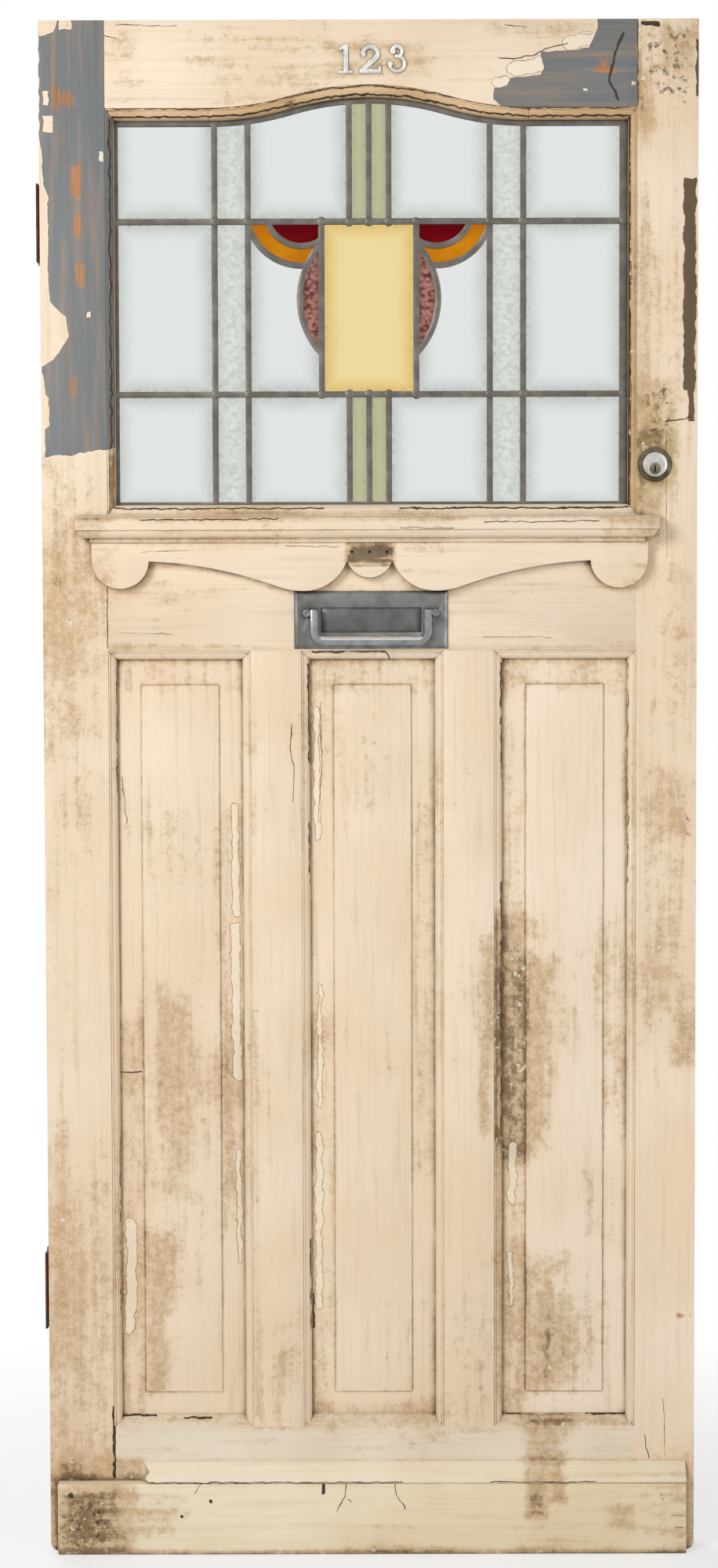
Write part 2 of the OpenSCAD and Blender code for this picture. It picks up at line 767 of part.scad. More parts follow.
// All the lines of lead inside the edge came, w wide
module came_lines(w) {
    for (z = [row_lo, row_hi]) area([-light_w / 2, z - w / 2], [light_w / 2, z + w / 2]);
    for (s = [0, 1]) mirror([s, 0]) {
        for (x = [strip_in, strip_out]) area([x - w / 2, sill_z], [x + w / 2, leaf_h]);
        area([yellow_half_w - w / 2, row_lo], [yellow_half_w + w / 2, row_hi]);
        for (z = [[sill_z, row_lo], [row_hi, leaf_h]])
            area([green_w - w / 2, z[0]], [green_w + w / 2, z[1]]);
        intersection() {
            translate([yellow_half_w + leaf_pane_w - leaf_pane_r, leaf_pane_z]) ring(leaf_pane_r, w);
            area([yellow_half_w, row_lo], [strip_in, row_hi]);
        }
        difference() {
            intersection() {
                translate([arc_x, arc_z]) for (r = [ruby_r, amber_r]) ring(r, w);
                area([yellow_half_w, row_lo], [strip_in, row_hi]);
            }
            leaf_outline();
        }
    }
    for (z = [[sill_z, row_lo], [row_hi, leaf_h]]) area([-w / 2, z[0]], [w / 2, z[1]]);
}

module came_layer(w, edge) {
    difference() {
        light_outline(0);
        light_outline(edge);
    }
    intersection() {
        light_outline(edge / 2);
        came_lines(w);
    }
}

// Soldered lead net: a flange at each face and a heart between the panes
module lead_cames() color(lead) {
    channel = glass_t / 2 + glass_gap / 3;
    front_slab(-light_y, -channel) came_layer(came_w, edge_came_w);
    front_slab(channel, light_y) came_layer(came_w, edge_came_w);
    front_slab(-light_y, light_y) came_layer(heart_t, heart_t);
}

// Glass that fills the cells given as children, cut back from the hearts
module panes() {
    front_slab(-glass_t / 2, glass_t / 2) intersection() {
        difference() {
            light_outline(heart_t + glass_gap);
            came_lines(heart_t + 2 * glass_gap);
        }
        for (s = [0, 1]) mirror([s, 0]) children();
    }
}

module corner_disc(r) {
    intersection() {
        translate([arc_x, arc_z]) circle(r);
        area([yellow_half_w, row_lo], [strip_in, row_hi]);
    }
}

module clear_panes() color([0.88, 0.92, 0.93, 0.5]) panes() {
    area([strip_out, sill_z], [light_w / 2, leaf_h]);
    area([green_w, sill_z], [strip_in, row_lo]);
    area([green_w, row_hi], [strip_in, leaf_h]);
    difference() {
        area([yellow_half_w, row_lo], [strip_in, row_hi]);
        corner_disc(amber_r);
        leaf_outline();
    }
}

module hammered_panes() color([0.80, 0.83, 0.83, 0.6]) panes()
    area([strip_in, sill_z], [strip_out, leaf_h]);

module green_panes() color([0.72, 0.74, 0.58, 0.7]) panes() {
    area([0, sill_z], [green_w, row_lo]);
    area([0, row_hi], [green_w, leaf_h]);
}

module amber_panes() color([0.82, 0.55, 0.10, 0.8]) panes() difference() {
    corner_disc(amber_r);
    corner_disc(ruby_r);
    leaf_outline();
}

module ruby_panes() color([0.40, 0.02, 0.05, 0.9]) panes() difference() {
    corner_disc(ruby_r);
    leaf_outline();
}

module leaf_panes() color([0.46, 0.20, 0.22, 0.9]) panes() leaf_outline();

module yellow_pane() color([0.93, 0.84, 0.58, 0.8]) panes()
    area([-yellow_half_w, row_lo], [yellow_half_w, row_hi]);

// Section under the shelf's edge, from the wall out: ovolo, then a fillet above the apron
module shelf_under(out) {
    ovolo_out = out - shelf_step - shelf_ovolo_r;
    edge_z = shelf_z1 - shelf_edge_h;
    area([-cut, shelf_z0 + shelf_fillet], [ovolo_out, edge_z + cut]);
    intersection() {
        translate([ovolo_out, edge_z]) circle(shelf_ovolo_r);
        area([-cut, shelf_z0 + shelf_fillet], [out, edge_z + cut]);
    }
    area([-cut, shelf_z0], [out - shelf_out + shelf_fillet_out, edge_z]);
}

// Planted drip moulding with returned ends and a sloped top
module drip_shelf() color(paint) {
    edge_z = shelf_z1 - shelf_edge_h;
    x0 = shelf_x - shelf_w / 2;
    x1 = shelf_x + shelf_w / 2;
    side_bar(x0, x1) polygon([
        [front_y, edge_z], [front_y, shelf_z1],
        [front_y - shelf_out, shelf_z1 - shelf_fall], [front_y - shelf_out, edge_z]]);
    intersection() {
        side_bar(x0, x1) translate([front_y, 0]) mirror([1, 0]) shelf_under(shelf_out);
        front_slab(front_y - shelf_out, front_y) translate([shelf_x, 0])
            for (s = [0, 1]) mirror([s, 0]) shelf_under(shelf_w / 2);
    }
}

// Right half of the apron's outline
module apron_half() {
    difference() {
        area([0, turn_z], [apron_w / 2, shelf_z0]);
        translate([turn_x + hollow_r * sin(lobe_turn), turn_z - hollow_r * cos(lobe_turn)]) circle(hollow_r);
        area([0, turn_z - cut], [turn_x, shelf_z0 - mid_lobe_drop + cut]);
        area([end_lobe_x, turn_z - cut], [apron_w / 2 + cut, end_lobe_z]);
    }
    translate([end_lobe_x, end_lobe_z]) circle(end_lobe_r);
    area([end_lobe_x - end_lobe_r, end_lobe_z], [apron_w / 2, shelf_z0]);
    intersection() {
        translate([lobe_x, apron_low_z + lobe_in_r]) circle(lobe_in_r);
        area([mid_lobe_half_w, apron_low_z], [lobe_x, shelf_z0]);
    }
    intersection() {
        translate([lobe_x, apron_low_z + lobe_out_r]) circle(lobe_out_r);
        area([lobe_x - cut, apron_low_z], [turn_x, shelf_z0]);
    }
    intersection() {
        translate([0, mid_lobe_low_z + mid_lobe_r]) circle(mid_lobe_r);
        area([0, mid_lobe_low_z], [mid_lobe_half_w, shelf_z0]);
    }
}

module shelf_apron() color(paint) difference() {
    front_slab(front_y - apron_t, front_y) intersection() {
        for (s = [0, 1]) mirror([s, 0]) apron_half();
        area([-apron_w / 2, 0], [apron_w / 2, shelf_z0]);
    }
    for (i = [-1:1]) rod_y_axis(i * nail_pitch, shelf_z0 - nail_drop, front_y - apron_t - cut,
                                front_y - apron_t + nail_depth, nail_hole_r);
}

module weatherboard() color(paint)
    block([-board_w / 2, front_y - board_t, 0], [board_w / 2, front_y, board_h]);

// Sloped strip on the plank, broken off short at the hinge side
module weather_strip() color(paint) intersection() {
    side_bar(board_w / 2 - strip_l, board_w / 2) polygon([
        [front_y, board_h], [front_y, board_h + strip_h],
        [front_y - board_t, board_h + strip_edge], [front_y - board_t, board_h]]);
    x0 = board_w / 2 - strip_l;
    front_slab(front_y - board_t, front_y) polygon([
        [x0 + strip_break, board_h], [x0 + strip_break / 3, board_h + strip_h / 4],
        [x0 + strip_break * 0.8, board_h + strip_h / 2], [x0, board_h + strip_h],
        [board_w / 2, board_h + strip_h], [board_w / 2, board_h]]);
}

// Bevelled plate with its mouth, and two ears behind it for the flap's rod
module letter_plate() color(pewter) difference() {
    union() {
        intersection() {
            side_bar(plate_x - plate_w / 2, plate_x + plate_w / 2) translate([0, plate_z]) polygon([
                [front_y, -plate_h / 2], [front_y, plate_h / 2], [plate_rim_y, plate_h / 2],
                [plate_y, plate_h / 2 - plate_bevel], [plate_y, plate_bevel - plate_h / 2],
                [plate_rim_y, -plate_h / 2]]);
            translate([plate_x, 0, plate_z - plate_h / 2]) linear_extrude(plate_h) polygon([
                [-plate_w / 2, front_y], [-plate_w / 2, plate_rim_y], [plate_bevel - plate_w / 2, plate_y],
                [plate_w / 2 - plate_bevel, plate_y], [plate_w / 2, plate_rim_y], [plate_w / 2, front_y]]);
        }
        for (s = [0, 1]) translate([plate_x, 0, 0]) mirror([s, 0, 0])
            block([slot_w / 2 - joint_gap - ear_t, front_y - plate_t / 2, rod_z - barrel_r],
                  [slot_w / 2 - joint_gap, rod_y + barrel_r, slot_z + slot_h / 2 - joint_gap]);
    }
    block([plate_x - mouth_w / 2, plate_y - cut, plate_z - mouth_h / 2],
          [plate_x + mouth_w / 2, front_y + cut, mouth_top]);
    rod_x_axis(rod_y, rod_z, plate_x - slot_w / 2, plate_x + slot_w / 2, rod_r + run_gap);
    for (s = [-1, 1]) rod_y_axis(plate_x + s * post_pitch / 2, post_z, plate_y - cut, front_y + cut,
                                 stud_r + joint_gap);
}

// Two posts with a stud through the rail and a pivot towards the bail
module bail_posts() color(pewter) for (s = [0, 1]) translate([plate_x, 0, 0]) mirror([s, 0, 0]) {
    x = post_pitch / 2;
    difference() {
        rod_y_axis(x, post_z, plate_y - post_l, plate_y, post_r);
        rod_y_axis(x, post_z, plate_y - post_l - cut, plate_y - post_l + post_recess, post_r * 0.55);
    }
    rod_y_axis(x, post_z, plate_y - cut, stud_end_y, stud_r);
    rod_x_axis(pivot_y, post_z, bail_w / 2 - bail_bar * 0.7, x, pivot_r);
}

module post_nuts() color(steel) for (s = [-1, 1]) difference() {
    union() {
        rod_y_axis(plate_x + s * post_pitch / 2, post_z, back_y, back_y + washer_t, stud_r * 3);
        translate([plate_x + s * post_pitch / 2, back_y + washer_t / 2, post_z]) rotate([-90, 0, 0])
            cylinder(h = washer_t / 2 + nut_h, r = stud_r * 1.9, $fn = 6);
    }
    rod_y_axis(plate_x + s * post_pitch / 2, post_z, back_y - cut, stud_end_y + cut, stud_r + run_gap);
}

// Drop handle that hangs from the two pivots
module knocker_bail() color(pewter) {
    low = post_z - bail_drop;
    inner_w = bail_w / 2 - bail_bar;
    inner_r = bail_r - bail_bar;
    difference() {
        front_slab(pivot_y - bail_d / 2, pivot_y + bail_d / 2) translate([plate_x, 0]) difference() {
            union() {
                area([-bail_w / 2, low + bail_r], [bail_w / 2, post_z + bail_top]);
                area([-bail_w / 2 + bail_r, low], [bail_w / 2 - bail_r, low + bail_r + cut]);
                for (s = [-1, 1]) translate([s * (bail_w / 2 - bail_r), low + bail_r]) circle(bail_r);
            }
            area([-inner_w, low + bail_bar + inner_r], [inner_w, post_z + bail_top + cut]);
            area([inner_r - inner_w, low + bail_bar], [inner_w - inner_r, post_z]);
            for (s = [-1, 1]) translate([s * (inner_w - inner_r), low + bail_bar + inner_r]) circle(inner_r);
        }
        for (s = [0, 1]) translate([plate_x, 0, 0]) mirror([s, 0, 0])
            rod_x_axis(pivot_y, post_z, bail_w / 2 - bail_bar * 0.75, bail_w / 2 + cut, pivot_r + run_gap);
    }
}

// Flap behind the mouth, with its barrel on the rod and room for the spring at one end
module letter_flap() color(pewter) difference() {
    flap_y = front_y + flap_gap;
    union() {
        block([plate_x - flap_half_w, flap_y, plate_z - mouth_h / 2 - flap_lap],
              [plate_x + flap_half_w, flap_y + flap_t, rod_z]);
        rod_x_axis(rod_y, rod_z, coil_room_x, plate_x + flap_half_w, barrel_r);
    }
    rod_x_axis(rod_y, rod_z, plate_x - slot_w / 2, plate_x + slot_w / 2, rod_r + run_gap);
    block([plate_x - flap_half_w - cut, flap_y - cut, rod_z - coil_r - wire_d / 2 - flap_gap],
          [coil_room_x, rod_y + barrel_r, rod_z + barrel_r]);
}

module flap_rod() color(steel)
    rod_x_axis(rod_y, rod_z, plate_x - slot_w / 2 + joint_gap, plate_x + slot_w / 2 - joint_gap, rod_r);

// Points along the spring: a leg up to the slot's roof, the coil, and a leg down the flap's back
spring_steps = 14;
leg_up = slot_z + slot_h / 2 - rod_z - joint_gap - wire_d / 2;
leg_down = 14;
leg_y = front_y + 2 * flap_gap + flap_t + wire_d / 2 - rod_y;
function coil_point(a) = [coil_x + wire_d + coil_l * a / (360 * spring_turns),
                          rod_y + coil_r * cos(a), rod_z + coil_r * sin(a)];
spring_path = concat(
    [[coil_x + wire_d / 2, rod_y + coil_r, rod_z + leg_up]],
    [for (i = [0:spring_turns * spring_steps - spring_steps / 4]) coil_point(i * 360 / spring_steps)],
    [[coil_x + wire_d + coil_l, rod_y + leg_y, rod_z - coil_r - wire_d],
     [coil_x + wire_d + coil_l, rod_y + leg_y, rod_z - coil_r - leg_down]]);

// Round wire of diameter d swept along a list of points
module wire(path, d, sides) {
    n = len(path);
    function unit(v) = v / norm(v);
    function heading(i) = unit(path[min(i + 1, n - 1)] - path[max(i - 1, 0)]);
    function side_of(i) = unit(cross(heading(i), [0.99, 0.1, 0.05]));
    points = [for (i = [0:n - 1]) let (a = side_of(i), b = cross(heading(i), a))
              for (k = [0:sides - 1]) let (turn = k * 360 / sides)
              path[i] + d / 2 * (a * cos(turn) + b * sin(turn))];
    walls = [for (i = [0:n - 2], k = [0:sides - 1])
             [i * sides + k, i * sides + (k + 1) % sides,
              (i + 1) * sides + (k + 1) % sides, (i + 1) * sides + k]];
    ends = [[for (k = [sides - 1:-1:0]) k], [for (k = [0:sides - 1]) (n - 1) * sides + k]];
    polyhedron(points, concat(walls, ends), convexity = 10);
}

module flap_spring() color(steel) wire(spring_path, wire_d, 6);

// Stepped ring around the cylinder
module cylinder_ring() color(pewter) translate([cyl_x, front_y, cyl_z]) rotate([90, 0, 0]) rotate_extrude()
    polygon([[cyl_d / 2 + ring_gap, 0], [ring_d / 2, 0], [ring_d / 2, ring_t * 0.35],
             [ring_d / 2 - ring_t * 0.3, ring_t * 0.6], [ring_d / 2 - ring_t * 0.75, ring_t * 0.6],
             [ring_d / 2 - ring_t, ring_t], [cyl_d / 2 + ring_gap, ring_t]]);

// Places of the two screws that draw the cylinder against the clamp plate
cyl_screw_x = cyl_d * 0.3;
cyl_screw_z = cyl_z + 3;
cyl_screw_r = 2.4;
cyl_screw_y = cyl_back_y - 8;

module cylinder_body() color(polished) difference() {
    rod_y_axis(cyl_x, cyl_z, cyl_face_y, cyl_back_y, cyl_d / 2);
    rod_y_axis(cyl_x, plug_z, cyl_face_y - cut, cyl_back_y + cut, plug_r + run_gap);
    for (s = [-1, 1]) rod_y_axis(cyl_x + s * cyl_screw_x, cyl_screw_z, cyl_screw_y - 2, cyl_back_y + cut,
                                 cyl_screw_r + run_gap);
}

// Plug with its keyway, and a slot at the back for the tailbar
module cylinder_plug() color(brass) difference() {
    rod_y_axis(cyl_x, plug_z, plug_face_y, plug_back_y, plug_r);
    block([cyl_x - keyway_w / 2, plug_face_y - cut, plug_z - keyway_h / 2],
          [cyl_x + keyway_w / 2, keyway_end_y, plug_z + keyway_h / 2]);
    block([cyl_x - tail_t / 2 - run_gap, tail_in_y, plug_z - tail_w / 2 - run_gap],
          [cyl_x + tail_t / 2 + run_gap, plug_back_y + cut, plug_z + tail_w / 2 + run_gap]);
}

tail_end_y = tail_plate_y + tail_plate_t;
tail_gap = 0.3;

module cylinder_tailbar() color(steel)
    block([cyl_x - tail_t / 2, tail_in_y, plug_z - tail_w / 2],
          [cyl_x + tail_t / 2, tail_end_y, plug_z + tail_w / 2]);

module cylinder_clamp_plate() color(steel) difference() {
    rod_y_axis(cyl_x, cyl_z, back_y, back_y + base_t, clamp_r);
    rod_y_axis(cyl_x, plug_z, back_y - cut, back_y + base_t + cut, tail_w * 0.8);
    for (s = [-1, 1]) rod_y_axis(cyl_x + s * cyl_screw_x, cyl_screw_z, back_y - cut, back_y + base_t + cut,
                                 cyl_screw_r + joint_gap);
}

module cylinder_screws() color(steel) for (s = [-1, 1]) {
    head_y = back_y + base_t;
    rod_y_axis(cyl_x + s * cyl_screw_x, cyl_screw_z, cyl_screw_y, head_y + cut, cyl_screw_r);
    rod_y_axis(cyl_x + s * cyl_screw_x, cyl_screw_z, head_y, head_y + cyl_screw_r * 0.65, cyl_screw_r * 1.8);
}

// Four screws through the lock's case ears into the stile
lock_screw_r = 2;
lock_screw_l = 18;
lock_screw_in = 5.5;
lock_head_h = 2;
lock_head_sunk = 0.3;
lock_screw_spots = [for (x = [case_x + lock_screw_in, right_x - lock_screw_in],
                         z = [case_z + lock_screw_in, case_z + case_h - lock_screw_in]) [x, z]];

module lock_back_plate() color(steel) difference() {
    block([case_x, back_y, case_z], [right_x, back_y + base_t, case_z + case_h]);
    rod_y_axis(cyl_x, cyl_z, back_y - cut, back_y + base_t + cut, clamp_r + clamp_gap);
    for (p = lock_screw_spots) rod_y_axis(p[0], p[1], back_y - cut, back_y + base_t + cut,
                                          lock_screw_r + joint_gap);
}

// Cast case, open towards the leaf, with a window for the bolt and four screw pillars
module lock_case() color(rust) difference() {
    union() {
        difference() {
            block([case_x, back_y + base_t, case_z], [right_x, case_y, case_z + case_h]);
            block([case_x + case_wall, back_y + base_t - cut, case_z + case_wall],
                  [right_x - case_wall, case_y - case_wall, case_z + case_h - case_wall]);
        }
        for (p = lock_screw_spots) rod_y_axis(p[0], p[1], back_y + base_t, case_y - case_wall / 2,
                                              lock_screw_in);
    }
    block([right_x - case_wall - cut, bolt_y - bolt_gap, bolt_top_z - bolt_h - bolt_gap],
          [right_x + cut, bolt_y + bolt_t + bolt_gap, bolt_top_z + bolt_gap]);
    rod_y_axis(cyl_x, plug_z, case_y - case_wall - cut, case_y + cut, shaft_r + run_gap);
    for (p = lock_screw_spots) {
        rod_y_axis(p[0], p[1], back_y, case_y + cut, lock_screw_r + joint_gap);
        rod_y_axis(p[0], p[1], case_y - lock_head_h, case_y + cut, lock_screw_r * 2 + joint_gap);
    }
}

// Bolt drawn back flush with the case, its tail notched for the crank's pin
module lock_bolt() color(brass) {
    notch = crank_pin_r + bolt_gap;
    notch_x = cyl_x - crank_x;
    block([right_x - bolt_head_l, bolt_y, bolt_top_z - bolt_h], [right_x, bolt_y + bolt_t, bolt_top_z]);
    difference() {
        block([notch_x - notch - web_t, tail_plate_y, bolt_z],
              [right_x - bolt_head_l + cut, tail_plate_y + tail_plate_t, bolt_top_z]);
        block([notch_x - notch, tail_plate_y - cut, bolt_z - cut],
              [notch_x + notch, tail_plate_y + tail_plate_t + cut, plug_z + crank_r + notch]);
    }
}

// Hub with the crank web and pin, slotted for the tailbar
module lock_hub() color(brass) difference() {
    union() {
        rod_y_axis(cyl_x, plug_z, web_y, shaft_end_y, shaft_r);
        translate([cyl_x, 0, plug_z]) rotate([0, -crank_half_turn, 0]) {
            rod_y_axis(0, crank_r, web_y, tail_plate_y + tail_plate_t, crank_pin_r);
            block([-crank_pin_r, web_y, 0], [crank_pin_r, web_y + web_t, crank_r]);
            rod_y_axis(0, crank_r, web_y, web_y + web_t, crank_pin_r);
        }
    }
    block([cyl_x - tail_t / 2 - tail_gap, web_y - cut, plug_z - tail_w / 2 - tail_gap],
          [cyl_x + tail_t / 2 + tail_gap, tail_end_y + cut, plug_z + tail_w / 2 + tail_gap]);
}

// Rose and upright grip pressed on the hub's shaft
module thumb_turn() color(brass) difference() {
    union() {
        rod_y_axis(cyl_x, plug_z, rose_y, rose_y + rose_t, rose_r);
        translate([cyl_x, rose_y + rose_t - cut, plug_z]) rotate([-90, 0, 0])
            linear_extrude(case_y + grip_out - rose_y - rose_t + cut)
            intersection() {
                square([shaft_r * 2.4, grip_l], center = true);
                circle(grip_l / 2);
            }
    }
    rod_y_axis(cyl_x, plug_z, case_y, shaft_end_y + rose_gap, shaft_r + run_gap);
}

module lock_screws() color(steel) for (p = lock_screw_spots) {
    rod_y_axis(p[0], p[1], back_y - lock_screw_l, case_y - cut, lock_screw_r);
    rod_y_axis(p[0], p[1], case_y - lock_head_h, case_y - lock_head_sunk, lock_screw_r * 2);
}

// Place of screw i across a plate, in a zigzag that starts at the outer or the inner row
function screw_y(i, first = 0) = back_y - screw_in - ((i + first) % 2) * screw_stagger;

// Knuckles first to last of one plate, by their places from the top
module knuckles(z, places, grow) {
    for (k = places) translate([hinge_x, hinge_y, z - hinge_h / 2 + k * knuckle_h + knuckle_gap / 2 - grow])
        cylinder(h = knuckle_h - knuckle_gap + 2 * grow, r = knuckle_r + (grow > 0 ? knuckle_gap : 0));
}

// One hinge plate from x0 to x1 with its knuckles, cut clear of the other plate's, and sunk holes from sink_x
module hinge_plate(z, x0, x1, own, other, sink_x, first) {
    difference() {
        union() {
            difference() {
                block([x0, back_y - hinge_plate_w, z - hinge_h / 2], [x1, hinge_y, z + hinge_h / 2]);
                knuckles(z, other, knuckle_gap);
            }
            knuckles(z, own, 0);
        }
        translate([hinge_x, hinge_y, z - hinge_h]) cylinder(h = 2 * hinge_h, r = hinge_pin_r + run_gap);
        for (i = [0:3]) translate([sink_x, screw_y(i, first), z + screw_rows[i] * hinge_h])
            rotate([0, sink_x > x0 ? -90 : 90, 0]) {
                hole_r = hinge_screw_r + joint_gap / 2;
                translate([0, 0, -cut]) cylinder(h = hinge_plate_t + 2 * cut, r = hole_r);
                cylinder(h = screw_head_h, r1 = screw_head_r + joint_gap / 2, r2 = hole_r);
            }
    }
}

module door_leaf_plate(z) color(rust)
    hinge_plate(z, left_x, left_x + hinge_plate_t, [1, 3], [0, 2, 4], left_x, 0);

module jamb_leaf_plate(z) color(rust)
    hinge_plate(z, left_x - hinge_gap - hinge_plate_t, left_x - hinge_gap, [0, 2, 4], [1, 3],
                left_x - hinge_gap, 1);

module top_hinge_door_leaf() door_leaf_plate(hinge_z[0]);
module top_hinge_jamb_leaf() jamb_leaf_plate(hinge_z[0]);
module bottom_hinge_door_leaf() door_leaf_plate(hinge_z[1]);
module bottom_hinge_jamb_leaf() jamb_leaf_plate(hinge_z[1]);

// Fixed pins, headed at both ends
module hinge_pins() color(rust) for (z = hinge_z) translate([hinge_x, hinge_y, z]) {
    cylinder(h = hinge_h + pin_head_h, r = hinge_pin_r, center = true);
    for (s = [0, 1]) mirror([0, 0, s]) translate([0, 0, hinge_h / 2])
        cylinder(h = pin_head_h, r1 = knuckle_r * 0.85, r2 = knuckle_r * 0.6);
}

// Countersunk screws of the door-side plates
module hinge_screws() color(rust) for (z = hinge_z, i = [0:3])
    translate([left_x, screw_y(i), z + screw_rows[i] * hinge_h]) rotate([0, 90, 0]) {
        cylinder(h = hinge_screw_l, r = hinge_screw_r);
        cylinder(h = screw_head_h, r1 = screw_head_r, r2 = hinge_screw_r);
    }

// Numerals are drawn from the foot line up, in strokes with slab and ball ends
ball_r = stroke * 0.62;
one_w = numeral_h * 0.5;
two_w = numeral_h * 0.76;
three_w = numeral_h * 0.66;
serif_h = numeral_h * 0.11;
number_w = one_w + two_w + three_w + 2 * numeral_gap;
number_x0 = number_x - number_w / 2;

module numeral(x) color(polished)
    front_slab(front_y - numeral_t, front_y) translate([x, leaf_h - number_down]) children();

module numeral_one() numeral(number_x0) {
    stem = (one_w - stroke) / 2;
    polygon([[0, 0], [one_w, 0], [one_w, serif_h], [stem + stroke, serif_h], [stem + stroke, numeral_h],
             [stem, numeral_h], [0, numeral_h - serif_h * 1.3], [0, numeral_h - serif_h * 2.2],
             [stem, numeral_h - serif_h * 1.6], [stem, serif_h], [0, serif_h]]);
}

module numeral_two() numeral(number_x0 + one_w + numeral_gap) {
    curl_in = numeral_h / 25;
    r = two_w / 2 - curl_in;
    mid = [two_w / 2, numeral_h - r];
    difference() {
        translate(mid) circle(r);
        translate(mid) circle(r - stroke);
        area([0, 0], [two_w - stroke - curl_in, mid[1] - stroke / 3]);
        area([0, 0], [two_w, mid[1] - stroke]);
    }
    translate([curl_in + ball_r, mid[1]]) circle(ball_r);
    reach = sqrt(pow(r, 2) - pow(stroke, 2));
    polygon([[mid[0] + reach, mid[1] - stroke], [mid[0] + r - stroke, mid[1]],
             [0, serif_h], [0, 0], [stroke * 1.3, serif_h]]);
    area([0, 0], [two_w, stroke]);
    area([two_w - serif_h, 0], [two_w, stroke * 1.6]);
}

module numeral_three() numeral(number_x0 + one_w + two_w + 2 * numeral_gap) {
    low_r = three_w / 2;
    bar = stroke * 0.85;
    top_r = (numeral_h + bar) / 2 - low_r;
    mid_x = three_w / 2;
    top_z = numeral_h - top_r;
    for (c = [[low_r, low_r, -1], [top_z, top_r, 1]]) {
        difference() {
            translate([mid_x, c[0]]) circle(c[1]);
            translate([mid_x, c[0]]) circle(c[1] - bar);
            area([0, c[0] - (c[2] < 0 ? 0 : c[1])], [mid_x, c[0] + (c[2] < 0 ? c[1] : 0)]);
        }
        translate([mid_x - c[1] + ball_r * 0.9, c[0]]) circle(ball_r);
    }
    area([mid_x - stroke / 2, 2 * low_r - bar], [mid_x + cut, 2 * low_r]);
}

hinge_stile();
lock_stile();
top_rail();
lock_rail();
bottom_rail();
muntin_left();
muntin_right();
panel_left();
panel_centre();
panel_right();
panel_left_mouldings();
panel_centre_mouldings();
panel_right_mouldings();
glazing_mould_left();
glazing_mould_right();
glazing_mould_head();
glazing_bead_sill();
inner_glazing_beads();
lead_cames();
clear_panes();
hammered_panes();
green_panes();
amber_panes();
ruby_panes();
leaf_panes();
yellow_pane();
drip_shelf();
shelf_apron();
weatherboard();
weather_strip();
letter_plate();
bail_posts();
post_nuts();
knocker_bail();
letter_flap();
flap_rod();
flap_spring();
cylinder_ring();
cylinder_body();
cylinder_plug();
cylinder_tailbar();
cylinder_clamp_plate();
cylinder_screws();
lock_back_plate();
lock_case();
lock_bolt();
lock_hub();
thumb_turn();
lock_screws();
top_hinge_door_leaf();
top_hinge_jamb_leaf();
bottom_hinge_door_leaf();
bottom_hinge_jamb_leaf();
hinge_pins();
hinge_screws();
numeral_one();
numeral_two();
numeral_three();
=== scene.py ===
# %% [markdown]
# # A panelled front door
#
# An old front door leaf: painted joinery below, a leaded light above, a letter plate with a drop knocker,
# a rim lock and two butt hinges. The solids come from the construction model. This lesson dresses them:
# arrises are softened, lead is rounded, and every surface gets the paint, dirt, rust or glass that it shows.
# We start by loading the solids and by looking up which body each one moves with.

# %% Load the solids
import json
import math

import bpy
from mathutils import Matrix, Vector, noise


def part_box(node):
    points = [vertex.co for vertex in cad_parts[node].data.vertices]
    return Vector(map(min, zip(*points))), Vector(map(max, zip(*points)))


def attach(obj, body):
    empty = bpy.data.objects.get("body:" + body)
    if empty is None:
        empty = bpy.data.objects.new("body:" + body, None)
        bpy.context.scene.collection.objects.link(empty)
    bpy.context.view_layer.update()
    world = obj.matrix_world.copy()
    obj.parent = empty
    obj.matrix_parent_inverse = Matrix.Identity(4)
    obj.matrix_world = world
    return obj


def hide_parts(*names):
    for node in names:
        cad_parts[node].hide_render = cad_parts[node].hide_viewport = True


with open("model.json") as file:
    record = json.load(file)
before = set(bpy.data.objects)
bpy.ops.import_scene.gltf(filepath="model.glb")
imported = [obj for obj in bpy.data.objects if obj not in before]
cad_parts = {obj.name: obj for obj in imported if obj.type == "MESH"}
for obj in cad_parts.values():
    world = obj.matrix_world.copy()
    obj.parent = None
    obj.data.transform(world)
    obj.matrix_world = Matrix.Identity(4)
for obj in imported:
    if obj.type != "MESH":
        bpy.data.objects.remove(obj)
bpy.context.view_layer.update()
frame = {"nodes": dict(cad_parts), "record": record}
solids = frame["nodes"]
record = frame["record"]
body_of = {node: body for body, members in record["behaviour"]["bodies"].items() for node in members}
MM = 0.001

# %% [markdown]
# ## The view
#
# The leaf is seen almost square on, from about four metres, by a camera at the height of the letter plate
# that looks slightly down. A long lens keeps the stiles nearly parallel. The numbers come from lining up the
# four corners of the leaf, so we set them directly and turn the camera by its pitch, yaw and roll.

# %% Camera
IMAGE_HEIGHT = 2000
FOCAL_LENGTH = 3904.5
SENSOR = 36.0
CAMERA_PLACE = (-0.0056, -4.0718, 1.2675)
PITCH, YAW, ROLL = -0.0582, -0.0023, -0.0028

bpy.ops.object.camera_add(location=CAMERA_PLACE)
camera = bpy.context.object
aim = (Matrix.Rotation(-YAW, 4, "Z") @ Matrix.Rotation(math.pi / 2 + PITCH, 4, "X")
       @ Matrix.Rotation(ROLL, 4, "Z"))
camera.rotation_euler = aim.to_euler()
camera.data.sensor_width = SENSOR
camera.data.lens = FOCAL_LENGTH / IMAGE_HEIGHT * SENSOR
bpy.context.scene.camera = camera
bpy.context.scene.view_settings.view_transform = "Standard"
print("lens", round(camera.data.lens, 1), "mm")

